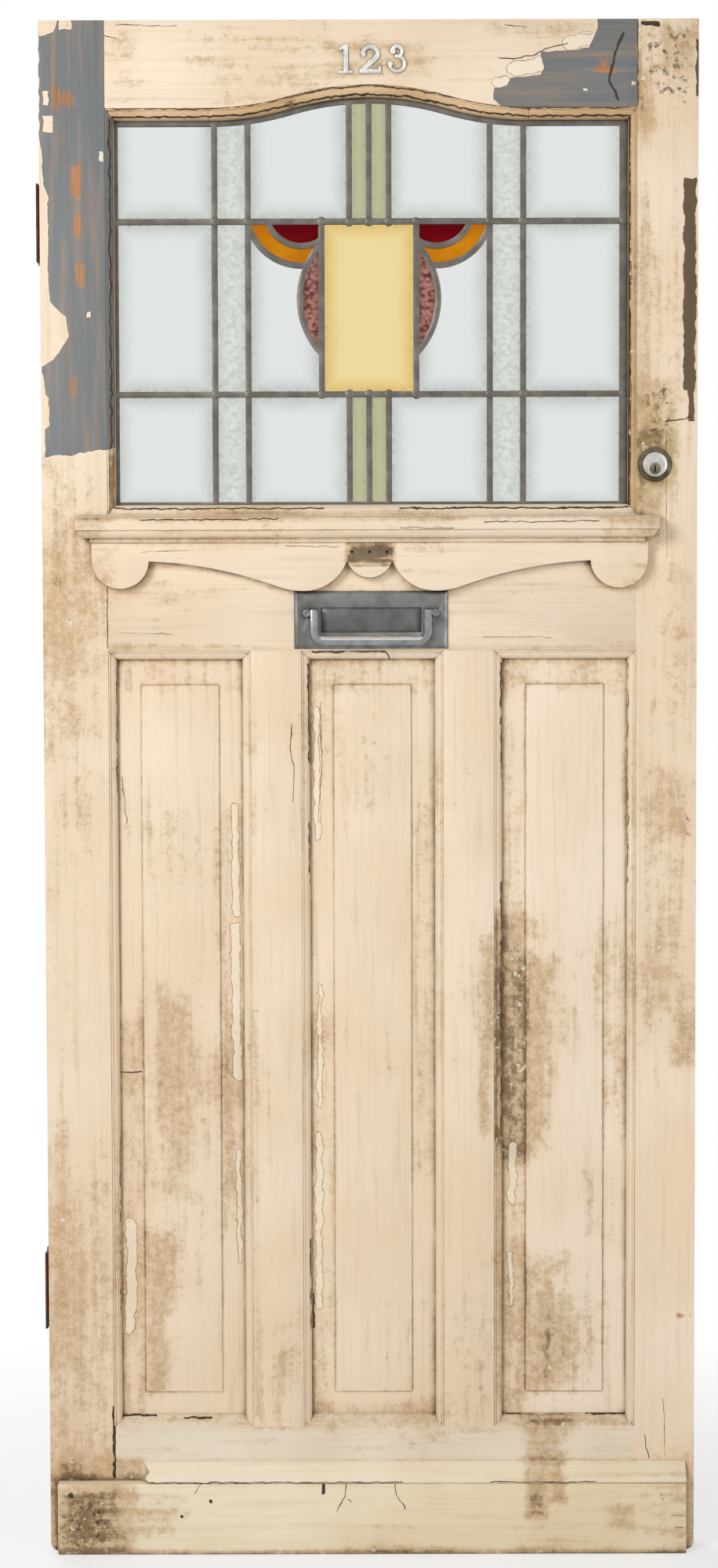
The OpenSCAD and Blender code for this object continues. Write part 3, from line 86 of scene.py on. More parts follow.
# %% [markdown]
# ## The light
#
# A door in a studio is lit by large soft boxes, so its mouldings show gentle shadows and nothing burns out.
# One box stands high on the left, a weaker one on the right, and a third lights the back. They are hidden
# from rays that pass through glass, so none of them shows in the leaded light.


# %% Soft boxes
def soft_box(name, place, target, width, height, power):
    """An area lamp at a place, turned to a target. Sizes are in metres, power in watts."""
    bpy.ops.object.light_add(type="AREA", location=place)
    lamp = bpy.context.object
    lamp.name = name
    lamp.data.shape = "RECTANGLE"
    lamp.data.size = width
    lamp.data.size_y = height
    lamp.data.energy = power
    lamp.visible_transmission = False
    lamp.rotation_euler = (Vector(target) - Vector(place)).to_track_quat("-Z", "Y").to_euler()


soft_box("key_box", (-2.1, -3.0, 2.6), (0, 0, 0.95), 1.2, 1.6, 76)
soft_box("fill_box", (2.6, -3.2, 1.6), (0, 0, 0.9), 1.6, 2.4, 32)
soft_box("back_box", (-1.6, 3.0, 2.6), (0, 0, 1.0), 1.6, 1.6, 60)
print("3 soft boxes")

# %% [markdown]
# The surroundings add an even glow. The white behind the leaf is only what the camera, metal and glass see:
# a Light Path node tells those rays from the ones that carry light, so the white adds none to the paint.

# %% Surroundings
GLOW = 0.38


def seen_or_lit(tree, seen, lit, output):
    """Joins two shaders: one for rays that look at the background, one for rays that only carry light."""
    path = tree.nodes.new("ShaderNodeLightPath")
    looks = path.outputs["Is Camera Ray"]
    for ray in ("Is Transmission Ray", "Is Glossy Ray"):
        either = tree.nodes.new("ShaderNodeMath")
        either.operation = "MAXIMUM"
        tree.links.new(looks, either.inputs[0])
        tree.links.new(path.outputs[ray], either.inputs[1])
        looks = either.outputs[0]
    both = tree.nodes.new("ShaderNodeMixShader")
    tree.links.new(looks, both.inputs[0])
    tree.links.new(lit.outputs[0], both.inputs[1])
    tree.links.new(seen.outputs[0], both.inputs[2])
    tree.links.new(both.outputs[0], output.inputs["Surface"])


world = bpy.data.worlds.new("studio")
bpy.context.scene.world = world
world.use_nodes = True
world.node_tree.nodes.clear()
white = world.node_tree.nodes.new("ShaderNodeBackground")
white.inputs["Color"].default_value = (1, 1, 1, 1)
glow = world.node_tree.nodes.new("ShaderNodeBackground")
glow.inputs["Color"].default_value = (1, 0.99, 0.97, 1)
glow.inputs["Strength"].default_value = GLOW
sky = world.node_tree.nodes.new("ShaderNodeOutputWorld")
seen_or_lit(world.node_tree, white, glow, sky)
print("glow", GLOW)

# %% [markdown]
# The floor is a plain pale sheet. Near the leaf, part of what the camera sees of it is lit, so that it keeps
# the leaf's soft shadow; further out it fades to the white of the background.

# %% Floor
FLOOR_SIZE = 12.0
SHADOW_REACH = 1.3
SHADOW_CORE = 0.4
WHITE_SHARE = 0.55

bpy.ops.mesh.primitive_plane_add(size=FLOOR_SIZE, location=(0, 0, -0.0005))
floor = bpy.context.object
floor.name = "floor"
pale_floor = bpy.data.materials.new("pale_floor")
pale_floor.use_nodes = True
tree = pale_floor.node_tree
tree.nodes.clear()
sheet = tree.nodes.new("ShaderNodeBsdfDiffuse")
sheet.inputs["Color"].default_value = (0.9, 0.9, 0.9, 1)
shine = tree.nodes.new("ShaderNodeEmission")
where = tree.nodes.new("ShaderNodeTexCoord")
away = tree.nodes.new("ShaderNodeVectorMath")
away.operation = "LENGTH"
tree.links.new(where.outputs["Object"], away.inputs[0])
fade = tree.nodes.new("ShaderNodeMapRange")
fade.inputs["From Min"].default_value = SHADOW_CORE * SHADOW_REACH
fade.inputs["From Max"].default_value = SHADOW_REACH
fade.inputs["To Min"].default_value = WHITE_SHARE
tree.links.new(away.outputs["Value"], fade.inputs["Value"])
part_white = tree.nodes.new("ShaderNodeMixShader")
tree.links.new(fade.outputs[0], part_white.inputs[0])
tree.links.new(sheet.outputs[0], part_white.inputs[1])
tree.links.new(shine.outputs[0], part_white.inputs[2])
floor_out = tree.nodes.new("ShaderNodeOutputMaterial")
seen_or_lit(tree, part_white, sheet, floor_out)
floor.data.materials.append(pale_floor)
print("floor", FLOOR_SIZE, "m")

# %% [markdown]
# ## A small kit for finishes
#
# Every finish below is a set of nodes that reads the place of a point on the door. Wiring nodes one by one
# is long, so this class adds a node per call and hands back the socket to use next. Places are turned into
# millimetres, because the marks on the door were measured in millimetres from the middle of its foot.


# %% Wiring kit
def srgb(red, green, blue):
    """A colour given as it shows on a screen, from 0 to 255, as the linear values that shaders take."""
    linear = [(c / 255) / 12.92 if c <= 10 else ((c / 255 + 0.055) / 1.055) ** 2.4
              for c in (red, green, blue)]
    return (*linear, 1.0)


class Wiring:
    """A material in the making. Most methods add a node and return its output socket."""

    def __init__(self, name):
        self.material = bpy.data.materials.new(name)
        self.material.use_nodes = True
        self.nodes = self.material.node_tree.nodes
        self.links = self.material.node_tree.links
        self.nodes.clear()
        self.shader = self.nodes.new("ShaderNodeBsdfPrincipled")
        output = self.nodes.new("ShaderNodeOutputMaterial")
        self.links.new(self.shader.outputs[0], output.inputs[0])
        self.spot = self.nodes.new("ShaderNodeTexCoord")
        self.place = self.vector("MULTIPLY", self.spot.outputs["Object"], (1000, 1000, 1000))

    def plug(self, socket, value):
        """Joins a socket to another one, or sets it to a constant."""
        if isinstance(value, bpy.types.NodeSocket):
            self.links.new(value, socket)
        else:
            socket.default_value = value

    def set(self, **values):
        """Sets inputs of the shader, such as base_color, to sockets or constants."""
        for name, value in values.items():
            self.plug(self.shader.inputs[name.replace("_", " ").title().replace("Ior", "IOR")], value)

    def vector(self, operation, a, b, result="Vector"):
        node = self.nodes.new("ShaderNodeVectorMath")
        node.operation = operation
        self.plug(node.inputs[0], a)
        self.plug(node.inputs["Scale"] if operation == "SCALE" else node.inputs[1], b)
        return node.outputs[result]

    def calc(self, operation, a, b=0.0, clamp=False):
        node = self.nodes.new("ShaderNodeMath")
        node.operation = operation
        node.use_clamp = clamp
        self.plug(node.inputs[0], a)
        self.plug(node.inputs[1], b)
        return node.outputs[0]

    def plus(self, a, b):
        return self.calc("ADD", a, b)

    def minus(self, a, b):
        return self.calc("SUBTRACT", a, b)

    def times(self, a, b):
        return self.calc("MULTIPLY", a, b)

    def step(self, value, low, high, top=1.0):
        """Runs smoothly from 0 at low to top at high."""
        node = self.nodes.new("ShaderNodeMapRange")
        node.interpolation_type = "SMOOTHSTEP"
        self.plug(node.inputs["Value"], value)
        node.inputs["From Min"].default_value = low
        node.inputs["From Max"].default_value = high
        node.inputs["To Max"].default_value = top
        return node.outputs[0]

    def noise(self, size, detail=3.0, stretch=(1, 1, 1), rough=0.5, result="Fac"):
        """Cloudy pattern whose features are about size millimetres, drawn out along an axis by stretch."""
        scaled = self.vector("MULTIPLY", self.place, tuple(1 / (size * s) for s in stretch))
        node = self.nodes.new("ShaderNodeTexNoise")
        node.inputs["Scale"].default_value = 1.0
        node.inputs["Detail"].default_value = detail
        node.inputs["Roughness"].default_value = rough
        self.links.new(scaled, node.inputs["Vector"])
        return node.outputs[result]

    def mix(self, factor, a, b):
        node = self.nodes.new("ShaderNodeMix")
        node.data_type = "RGBA"
        self.plug(node.inputs["Factor"], factor)
        self.plug(node.inputs[6], a)
        self.plug(node.inputs[7], b)
        return node.outputs[2]

    def bump(self, height, depth):
        """Relief of up to depth millimetres."""
        node = self.nodes.new("ShaderNodeBump")
        node.inputs["Distance"].default_value = depth * MM
        self.plug(node.inputs["Height"], height)
        self.links.new(node.outputs[0], self.shader.inputs["Normal"])


print("wiring kit ready")

# %% [markdown]
# A mark on the door needs a mask, a number that is 1 where the mark lies. Masks come from the way a face
# looks, from how deep a point sits in a corner, or from its depth inside boxes, lines and outlines. The place
# can be shaken by noise before it is measured, which makes straight edges ragged.


# %% Masks
class Finish(Wiring):
    """A material in the making, with masks for the marks on it."""

    def facing(self):
        """1 on faces that look outwards from the house, 0 on the others."""
        across = self.vector("DOT_PRODUCT", self.spot.outputs["Normal"], (0, -1, 0), "Value")
        return self.step(across, 0.05, 0.35)

    def crevice(self, reach):
        """1 deep in corners and under edges, 0 on open faces. Reach is in millimetres."""
        node = self.nodes.new("ShaderNodeAmbientOcclusion")
        node.samples = 4
        node.inputs["Distance"].default_value = reach * MM
        return self.minus(1.0, node.outputs["AO"])

    def shaken(self, wobble, size, detail=4.0):
        """The place, moved about by some wobble millimetres, so that straight edges come out ragged."""
        shift = self.vector("SUBTRACT", self.noise(size, detail, result="Color"), (0.5, 0.5, 0.5))
        moved = self.vector("ADD", self.place, self.vector("SCALE", shift, 4 * wobble))
        return self.vector("MULTIPLY", moved, (1, 0, 1))

    def boxes(self, spots, place):
        """Depth in millimetres inside the nearest of several upright boxes (x0, x1, z0, z1)."""
        depth = None
        for x0, x1, z0, z1 in spots:
            middle = ((x0 + x1) / 2, 0, (z0 + z1) / 2)
            off = self.vector("ABSOLUTE", self.vector("SUBTRACT", place, middle), (0, 0, 0))
            inner = self.vector("SUBTRACT", ((x1 - x0) / 2, 0, (z1 - z0) / 2), off)
            split = self.nodes.new("ShaderNodeSeparateXYZ")
            self.links.new(inner, split.inputs[0])
            one = self.calc("MINIMUM", split.outputs["X"], split.outputs["Z"])
            depth = one if depth is None else self.calc("MAXIMUM", depth, one)
        return depth

    def strokes(self, lines, place):
        """Depth in millimetres inside the nearest of several lines, each (half width, (x, z), (x, z) ...)."""
        depth = None
        for half, *line in lines:
            for (x0, z0), (x1, z1) in zip(line, line[1:]):
                run = Vector((x1 - x0, 0, z1 - z0))
                start = self.vector("SUBTRACT", place, (x0, 0, z0))
                along = self.vector("DOT_PRODUCT", start, tuple(run / run.length_squared), "Value")
                foot = self.vector("SCALE", tuple(run), self.calc("MULTIPLY", along, 1.0, clamp=True))
                one = self.minus(half, self.vector("DISTANCE", start, foot, "Value"))
                depth = one if depth is None else self.calc("MAXIMUM", depth, one)
        return depth

    def outline(self, value, points):
        """Height of a line of straight lengths through (at, height) points."""
        height = points[0][1]
        for (at0, height0), (at1, height1) in zip(points, points[1:]):
            ramp = self.nodes.new("ShaderNodeMapRange")
            self.links.new(value, ramp.inputs["Value"])
            ramp.inputs["From Min"].default_value = at0
            ramp.inputs["From Max"].default_value = at1
            ramp.inputs["To Max"].default_value = height1 - height0
            height = self.plus(ramp.outputs[0], height)
        return height

    def beyond(self, outlines, place):
        """Depth in millimetres to the right of one outline of (z, x) points and above another of (x, z)."""
        left, low = outlines
        split = self.nodes.new("ShaderNodeSeparateXYZ")
        self.links.new(place, split.inputs[0])
        x, z = split.outputs["X"], split.outputs["Z"]
        return self.calc("MINIMUM", self.minus(x, self.outline(z, left)), self.minus(z, self.outline(x, low)))


print("masks ready")

# %% [markdown]
# ## Old paint
#
# The joinery carries coats of cream gloss, gone peach with age. Dirt and painted shade lie in the quirks and
# corners, dirt also in patches and in specks; in places a coat has come off down to a paler one, to grey
# undercoat or to the wood.
# The colours come first, as they show on a screen.

# %% Paint colours
CREAM = srgb(240, 222, 198)
PEACH = srgb(236, 212, 184)
PALE_COAT = srgb(243, 230, 207)
TAN_DIRT = srgb(196, 164, 122)
BROWN_DIRT = srgb(112, 86, 56)
CRACK = srgb(62, 46, 30)
UNDERCOAT = srgb(112, 117, 118)
UNDERCOAT_WORN = srgb(148, 130, 118)
ORANGE_WOOD = srgb(190, 128, 78)
GREY_WOOD = srgb(88, 80, 58)
DARK_COAT = srgb(78, 74, 60)
MOSS = srgb(156, 136, 66)
print("paint colours named")

# %% [markdown]
# A finish of old paint starts as two tones in clouds, with brush marks drawn out along the piece. Every later
# layer goes over the colour so far: a mask says where, and a fall says how much lower the surface is there.

# %% Brushed coat
DRAWN_OUT = {"z": (1, 1, 14), "x": (14, 1, 1)}
BRUSHED = {"z": (1, 1, 70), "x": (70, 1, 1)}


class OldPaint(Finish):
    """Brushed paint in two tones. Dirt and losses are laid over its colour one after another."""

    def __init__(self, name, along, tones):
        super().__init__(name)
        self.mottle = self.noise(14, 7, rough=0.8)
        self.streaks = self.noise(11, 5, DRAWN_OUT[along])
        self.bristle = self.noise(2.6, 2, BRUSHED[along])
        self.front = self.facing()
        # Ambient occlusion: the darkening read from it below is painted shade as well as dirt.
        self.corner_dirt_and_shade = self.crevice(11)
        self.ragged = self.shaken(2.4, 16)
        self.drifting = self.shaken(11, 60)
        self.colour = self.mix(self.step(self.noise(190, 5), 0.36, 0.66), *tones)
        self.tint(self.step(self.bristle, 0.48, 0.75, 0.16), TAN_DIRT)
        self.tint(self.step(self.streaks, 0.52, 0.78, 0.25), TAN_DIRT)
        self.height = self.times(self.bristle, 0.35)

    def tint(self, mask, coat):
        """Mixes a coat into the colour where the mask is 1."""
        self.colour = self.mix(mask, self.colour, coat)

    def lay(self, mask, coat, fall=0.0):
        """Puts a coat on the outside of the door where the mask is 1, lower than the paint by fall."""
        outside = self.times(mask, self.front)
        self.tint(outside, coat)
        if fall:
            self.height = self.minus(self.height, self.times(outside, fall))

    def about_zero(self, pattern, strength):
        """A pattern that swings about zero instead of a half."""
        return self.times(self.minus(pattern, 0.5), strength)


print("brushed coat ready")

# %% [markdown]
# Dirt is a single amount that adds up from clouds, corners and stains, and noise of many sizes then decides
# where it shows: that is why it breaks up into patches and specks, as real dirt does. The corners come from
# ambient occlusion, so the darkening there is painted shade as well as dirt, and so is the line along the
# edge of a raised field. Stains with a broad feather also drift, so that they don't look like boxes.

# %% Dirt
BROAD_FEATHER = 11


def soil(paint, dirt, stains, edges):
    """Lays dirt, with painted shade in corners and along field edges, on the paint, and returns the pattern
    in which it shows.
    """
    amount = paint.step(paint.noise(300, 5), 0.42, 0.7, 0.5 + dirt)
    # Corners darken by ambient occlusion: painted shade as well as dirt.
    amount = paint.plus(amount, paint.step(paint.corner_dirt_and_shade, 0.06, 0.55, 0.8))
    for *box, strength, feather in stains:
        depth = paint.boxes([box], paint.drifting if feather > BROAD_FEATHER else paint.place)
        stain = paint.step(depth, -feather, feather, strength)
        amount = paint.plus(amount, paint.times(stain, paint.front))
    # The line along a raised field's edge is dirt and painted shade of its step.
    if edges:
        away = paint.calc("ABSOLUTE", paint.boxes(edges, paint.shaken(0.5, 20)))
        line = paint.step(away, 2.2, 0.2, 0.42)
        amount = paint.plus(amount, paint.times(line, paint.front))
    shown = paint.plus(amount, paint.about_zero(paint.mottle, 2.2))
    shown = paint.plus(shown, paint.about_zero(paint.streaks, 1.3))
    grain = paint.plus(paint.step(paint.noise(9, 6, rough=0.75), 0.4, 0.58, 0.62), 0.38)
    paint.tint(paint.step(amount, 0.15, 1.2, 0.4), TAN_DIRT)
    paint.tint(paint.times(paint.step(shown, 0.36, 0.88, 0.84), grain), TAN_DIRT)
    paint.tint(paint.step(shown, 1.02, 1.5, 0.84), BROWN_DIRT)
    chips = paint.plus(paint.noise(13, 7, rough=0.62), paint.times(amount, 0.09))
    paint.lay(paint.step(chips, 0.73, 0.75, 0.7), PALE_COAT, 0.5)
    # Deep corners also get a broken dark seam: painted shade as well as dark joints.
    broken = paint.step(paint.noise(45, 5), 0.32, 0.58)
    seam_dirt_and_shade = paint.times(paint.step(paint.corner_dirt_and_shade, 0.38, 0.56), broken)
    paint.tint(paint.times(seam_dirt_and_shade, 0.9), CRACK)
    return shown


print("dirt ready")

# %% [markdown]
# Where paint is damp, peeled or split, a ragged outline comes from shaking the place that is measured. Each
# function lays one kind of mark on the outside of the door.


# %% Growth and losses
def grow_moss(paint, moss):
    damp = paint.step(paint.boxes(moss, paint.drifting), -16, 14)
    patchy = paint.step(paint.noise(16, 6, rough=0.7), 0.42, 0.6, 0.6)
    paint.lay(paint.times(damp, patchy), MOSS)


def peel_strips(paint, pale):
    uneven = paint.about_zero(paint.noise(18, 6, rough=0.7), 10.0)
    depth = paint.plus(paint.strokes(pale, paint.ragged), uneven)
    paint.lay(paint.step(paint.calc("ABSOLUTE", depth), 1.0, 0.3, 0.6), BROWN_DIRT)
    paint.lay(paint.step(depth, 0.0, 0.6, 0.7), PALE_COAT, 0.6)


def strip_to_undercoat(paint, bare, kept):
    depth = paint.beyond(bare, paint.ragged)
    if kept:
        flakes = paint.boxes(kept, paint.ragged)
        depth = paint.calc("MINIMUM", depth, paint.times(flakes, -1.0))
    under = paint.mix(paint.step(paint.streaks, 0.42, 0.72, 0.9), UNDERCOAT, UNDERCOAT_WORN)
    under = paint.mix(paint.step(paint.bristle, 0.5, 0.8, 0.35), under, BROWN_DIRT)
    paint.lay(paint.step(depth, -1.8, -0.6), PALE_COAT)
    paint.lay(paint.step(depth, -0.3, 0.4), under, 1.0)


def show_wood(paint, wood, wood_colour):
    shape = paint.boxes(wood, paint.shaken(3, 9))
    depth = paint.plus(shape, paint.about_zero(paint.streaks, 42.0))
    timber = paint.mix(paint.step(paint.bristle, 0.35, 0.7, 0.6), wood_colour, BROWN_DIRT)
    paint.lay(paint.step(depth, -2.0, 4.0, 0.85), timber)


def show_dark_coat(paint, dark):
    coat = paint.mix(paint.streaks, DARK_COAT, BROWN_DIRT)
    paint.lay(paint.step(paint.boxes(dark, paint.ragged), -0.4, 0.6), coat, 0.8)


def scatter_specks(paint, specks):
    near = paint.step(paint.boxes(specks, paint.shaken(10, 30)), -14, 16, 0.26)
    dots = paint.plus(paint.noise(8, 7, rough=0.7), near)
    paint.lay(paint.step(dots, 0.76, 0.9, 0.85), CRACK)


def open_cracks(paint, cracks):
    thinned = paint.minus(paint.strokes(cracks, paint.shaken(1.6, 12)), paint.noise(18, 3))
    paint.lay(paint.step(thinned, -0.5, 0.25), CRACK, 2.0)


print("growth and losses ready")

# %% [markdown]
# One function now makes the whole finish, and each piece passes it only the marks that it bears.


# %% Worn paint
def worn_paint(name, along="z", tones=(CREAM, PEACH), dirt=0.0, stains=(), specks=(), edges=(), pale=(),
               cracks=(), bare=None, kept=(), wood=(), wood_colour=ORANGE_WOOD, dark=(), moss=()):
    """Old paint on one piece, brushed along an axis, with the marks that it bears in millimetres.

    Stains are boxes (x0, x1, z0, z1, strength, feather). Specks, edges, kept, wood, dark and moss are boxes
    (x0, x1, z0, z1). Pale and cracks are lines (half width, (x, z), (x, z) ...). Bare is a pair of outlines:
    the paint is gone to the right of the first, a list of (z, x), and above the second, a list of (x, z).
    """
    paint = OldPaint(name, along, tones)
    dirt_shown = soil(paint, dirt, stains, edges)
    if moss:
        grow_moss(paint, moss)
    if pale:
        peel_strips(paint, pale)
    if bare:
        strip_to_undercoat(paint, bare, kept)
    if wood:
        show_wood(paint, wood, wood_colour)
    if dark:
        show_dark_coat(paint, dark)
    if specks:
        scatter_specks(paint, specks)
    if cracks:
        open_cracks(paint, cracks)
    roughness = paint.plus(paint.step(dirt_shown, 0.0, 1.4, 0.25), 0.42)
    paint.set(base_color=paint.colour, roughness=roughness, specular_ior_level=0.3)
    paint.bump(paint.plus(paint.height, paint.times(paint.mottle, 0.6)), 0.8)
    return paint.material


print("worn paint ready")

# %% [markdown]
# ## Softened joinery
#
# Planed wood with a century of paint has no sharp arris. We copy each solid's mesh, merge its loose
# triangles, dissolve the flat ones into whole faces, and let a Bevel modifier round the edges. The copies
# stand for the solids, and the small grooves that the round edges leave between pieces take dirt and painted
# shade.

# %% Helpers for copies
MERGE_DISTANCE = 0.01 * MM
FLAT_ANGLE = math.radians(0.5)
SHARP_ANGLE = math.radians(35)
SMOOTH_ANGLE = math.radians(40)
ON_FACE = 0.05 * MM


def pick(piece):
    """Makes one object the only selected and the active one."""
    bpy.ops.object.select_all(action="DESELECT")
    piece.select_set(True)
    bpy.context.view_layer.objects.active = piece


def copy_solid(node):
    """A new object with a merged copy of a solid's mesh."""
    piece = bpy.data.objects.new("worn_" + node, solids[node].data.copy())
    bpy.context.collection.objects.link(piece)
    pick(piece)
    bpy.ops.mesh.customdata_custom_splitnormals_clear()
    bpy.ops.object.mode_set(mode="EDIT")
    bpy.ops.mesh.select_all(action="SELECT")
    bpy.ops.mesh.remove_doubles(threshold=MERGE_DISTANCE)
    bpy.ops.mesh.dissolve_limited(angle_limit=FLAT_ANGLE)
    bpy.ops.object.mode_set(mode="OBJECT")
    return piece


def soften(piece, width, segments=2):
    """Rounds every edge by width millimetres and smooths the shading."""
    pick(piece)
    bevel = piece.modifiers.new("arris", "BEVEL")
    bevel.width = width * MM
    bevel.segments = segments
    bevel.limit_method = "ANGLE"
    bevel.angle_limit = SHARP_ANGLE
    bpy.ops.object.modifier_apply(modifier=bevel.name)
    bpy.ops.object.shade_smooth_by_angle(angle=SMOOTH_ANGLE)


def coat(piece, material):
    """Gives a piece one material."""
    piece.data.materials.clear()
    piece.data.materials.append(material)


def dress(piece, node, material):
    """Gives a piece its material and lets it stand for a solid."""
    coat(piece, material)
    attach(piece, body_of[node])
    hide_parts(node)


def soften_solid(node, width, material, segments=2):
    """Puts a softened copy in the place of a solid."""
    piece = copy_solid(node)
    soften(piece, width, segments)
    dress(piece, node, material)


def select_edges(piece, wanted):
    """In edit mode, selects the edges whose two ends both satisfy wanted, and nothing else."""
    bpy.ops.mesh.select_mode(type="EDGE")
    bpy.ops.mesh.select_all(action="DESELECT")
    bpy.ops.object.mode_set(mode="OBJECT")
    points = piece.data.vertices
    for edge in piece.data.edges:
        edge.select = all(wanted(points[i].co) for i in edge.vertices)
    bpy.ops.object.mode_set(mode="EDIT")


def ridge(piece, side, face_y, slope, fall):
    """Turns the flat faces at y = face_y into low ridges. Side is -1 for the front, 1 for the back."""
    pick(piece)
    for part in (piece.data.vertices, piece.data.edges, piece.data.polygons):
        part.foreach_set("select", [False] * len(part))
    for flat in piece.data.polygons:
        flat.select = side * flat.normal.y > 0.9 and abs(flat.center.y - face_y) < ON_FACE
    bpy.ops.object.mode_set(mode="EDIT")
    bpy.ops.mesh.select_mode(type="FACE")
    bpy.ops.mesh.inset(thickness=slope * MM, depth=0)
    bpy.ops.mesh.select_mode(type="VERT")
    bpy.ops.object.mode_set(mode="OBJECT")
    rim = [abs(p.co.y - face_y) < ON_FACE and not p.select for p in piece.data.vertices]
    for part in (piece.data.edges, piece.data.polygons):
        part.foreach_set("select", [False] * len(part))
    piece.data.vertices.foreach_set("select", rim)
    bpy.ops.object.mode_set(mode="EDIT")
    bpy.ops.transform.translate(value=(0, -side * fall * MM, 0))
    bpy.ops.object.mode_set(mode="OBJECT")


print("helpers ready")

# %% [markdown]
# The stiles run the whole height. Their lower corners are knocked round, so before the edges are softened
# the short edge at each foot is picked by its place and bevelled on its own.

# %% Stiles
LEAF_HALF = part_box("lock_stile")[1].x
FOOT_ROUND = 11.0
STILE_ROUND = 1.4

hinge_paint = worn_paint(
    "paint_hinge_stile",
    bare=([(1465, -428), (1500, -427), (1505, -420), (1540, -422), (1545, -426), (1582, -430), (1597, -411),
           (1622, -393), (1647, -399), (1662, -415), (1668, -421), (1800, -421), (1820, -427), (1880, -431),
           (2012, -431), (2016, -412), (2040, -405)], [(-432, 1464), (-400, 1466), (-346, 1474)]),
    kept=[(-405, -388, 2020, 2040), (-426, -419, 1922, 1940), (-426, -414, 1888, 1910),
          (-354, -349, 1850, 1862), (-371, -366, 1646, 1654)],
    wood=[(-414, -382, 1917, 1944), (-391, -377, 1806, 1844), (-385, -376, 1758, 1775),
          (-385, -371, 1688, 1715), (-392, -385, 1545, 1565)],
    stains=[(-432, -346, 0, 520, 0.8, 160), (-432, -400, 0, 1460, 0.25, 20),
            (-432, -346, 1180, 1470, 0.3, 60), (-432, -346, 0, 130, 0.6, 30),
            (-400, -350, 700, 1000, 0.25, 60), (-400, -346, 1100, 1200, 0.3, 20)],
    cracks=[(0.9, (-346.5, 1212), (-346.5, 1300)), (1.6, (-346.5, 98), (-346.5, 195))])
lock_paint = worn_paint(
    "paint_lock_stile",
    dark=[(413, 429, 1550, 1826), (419, 428, 1508, 1560), (429, 436, 1930, 2005)],
    stains=[(352, 432, 1880, 2032, 0.38, 30), (352, 400, 1380, 1560, 0.5, 25),
            (352, 432, 560, 1010, 0.25, 60), (352, 432, 0, 150, 0.3, 50), (400, 432, 1150, 1320, 0.4, 30),
            (352, 372, 1380, 1930, 0.35, 8), (375, 425, 955, 1045, 0.45, 20), (402, 432, 655, 725, 0.55, 12),
            (380, 432, 1960, 2032, 0.4, 20), (348, 404, 1424, 1500, 0.45, 10), (352, 362, 1905, 2032, 0.5, 7),
            (352, 374, 1890, 1960, 0.25, 14)],
    wood=[(409, 425, 316, 320), (352, 358, 1925, 1990)],
    moss=[(352, 402, 1425, 1540), (352, 372, 1390, 1430), (352, 366, 1880, 1935)],
    specks=[(355, 425, 1925, 2028), (355, 400, 1485, 1560), (352, 364, 1390, 1480), (412, 430, 950, 1000)],
    cracks=[(0.9, (390, 1508), (404, 1509), (424, 1514)), (0.5, (391, 1498), (391, 1420), (393, 1330)),
            (0.5, (391, 205), (393, 125)), (0.7, (365, 157), (372, 125)), (3.0, (360, 2026), (378, 2025)),
            (0.8, (352.5, 1920), (352.5, 2030))])
for node, paint, side in [("hinge_stile", hinge_paint, -1), ("lock_stile", lock_paint, 1)]:
    stile = copy_solid(node)
    bpy.ops.object.mode_set(mode="EDIT")
    select_edges(stile, lambda p: side * p.x > LEAF_HALF - MM and p.z < MM)
    bpy.ops.mesh.bevel(offset=FOOT_ROUND * MM, segments=5, affect="EDGES")
    bpy.ops.object.mode_set(mode="OBJECT")
    soften(stile, STILE_ROUND)
    dress(stile, node, paint)
print("stiles softened")

# %% [markdown]
# The rails lie across, so their brush marks run along x. The top rail has lost a ragged patch of paint at
# the lock side; the bottom rail carries a brown run of dirt.

# %% Rails and muntins
BOARD_ROUND = 1.2

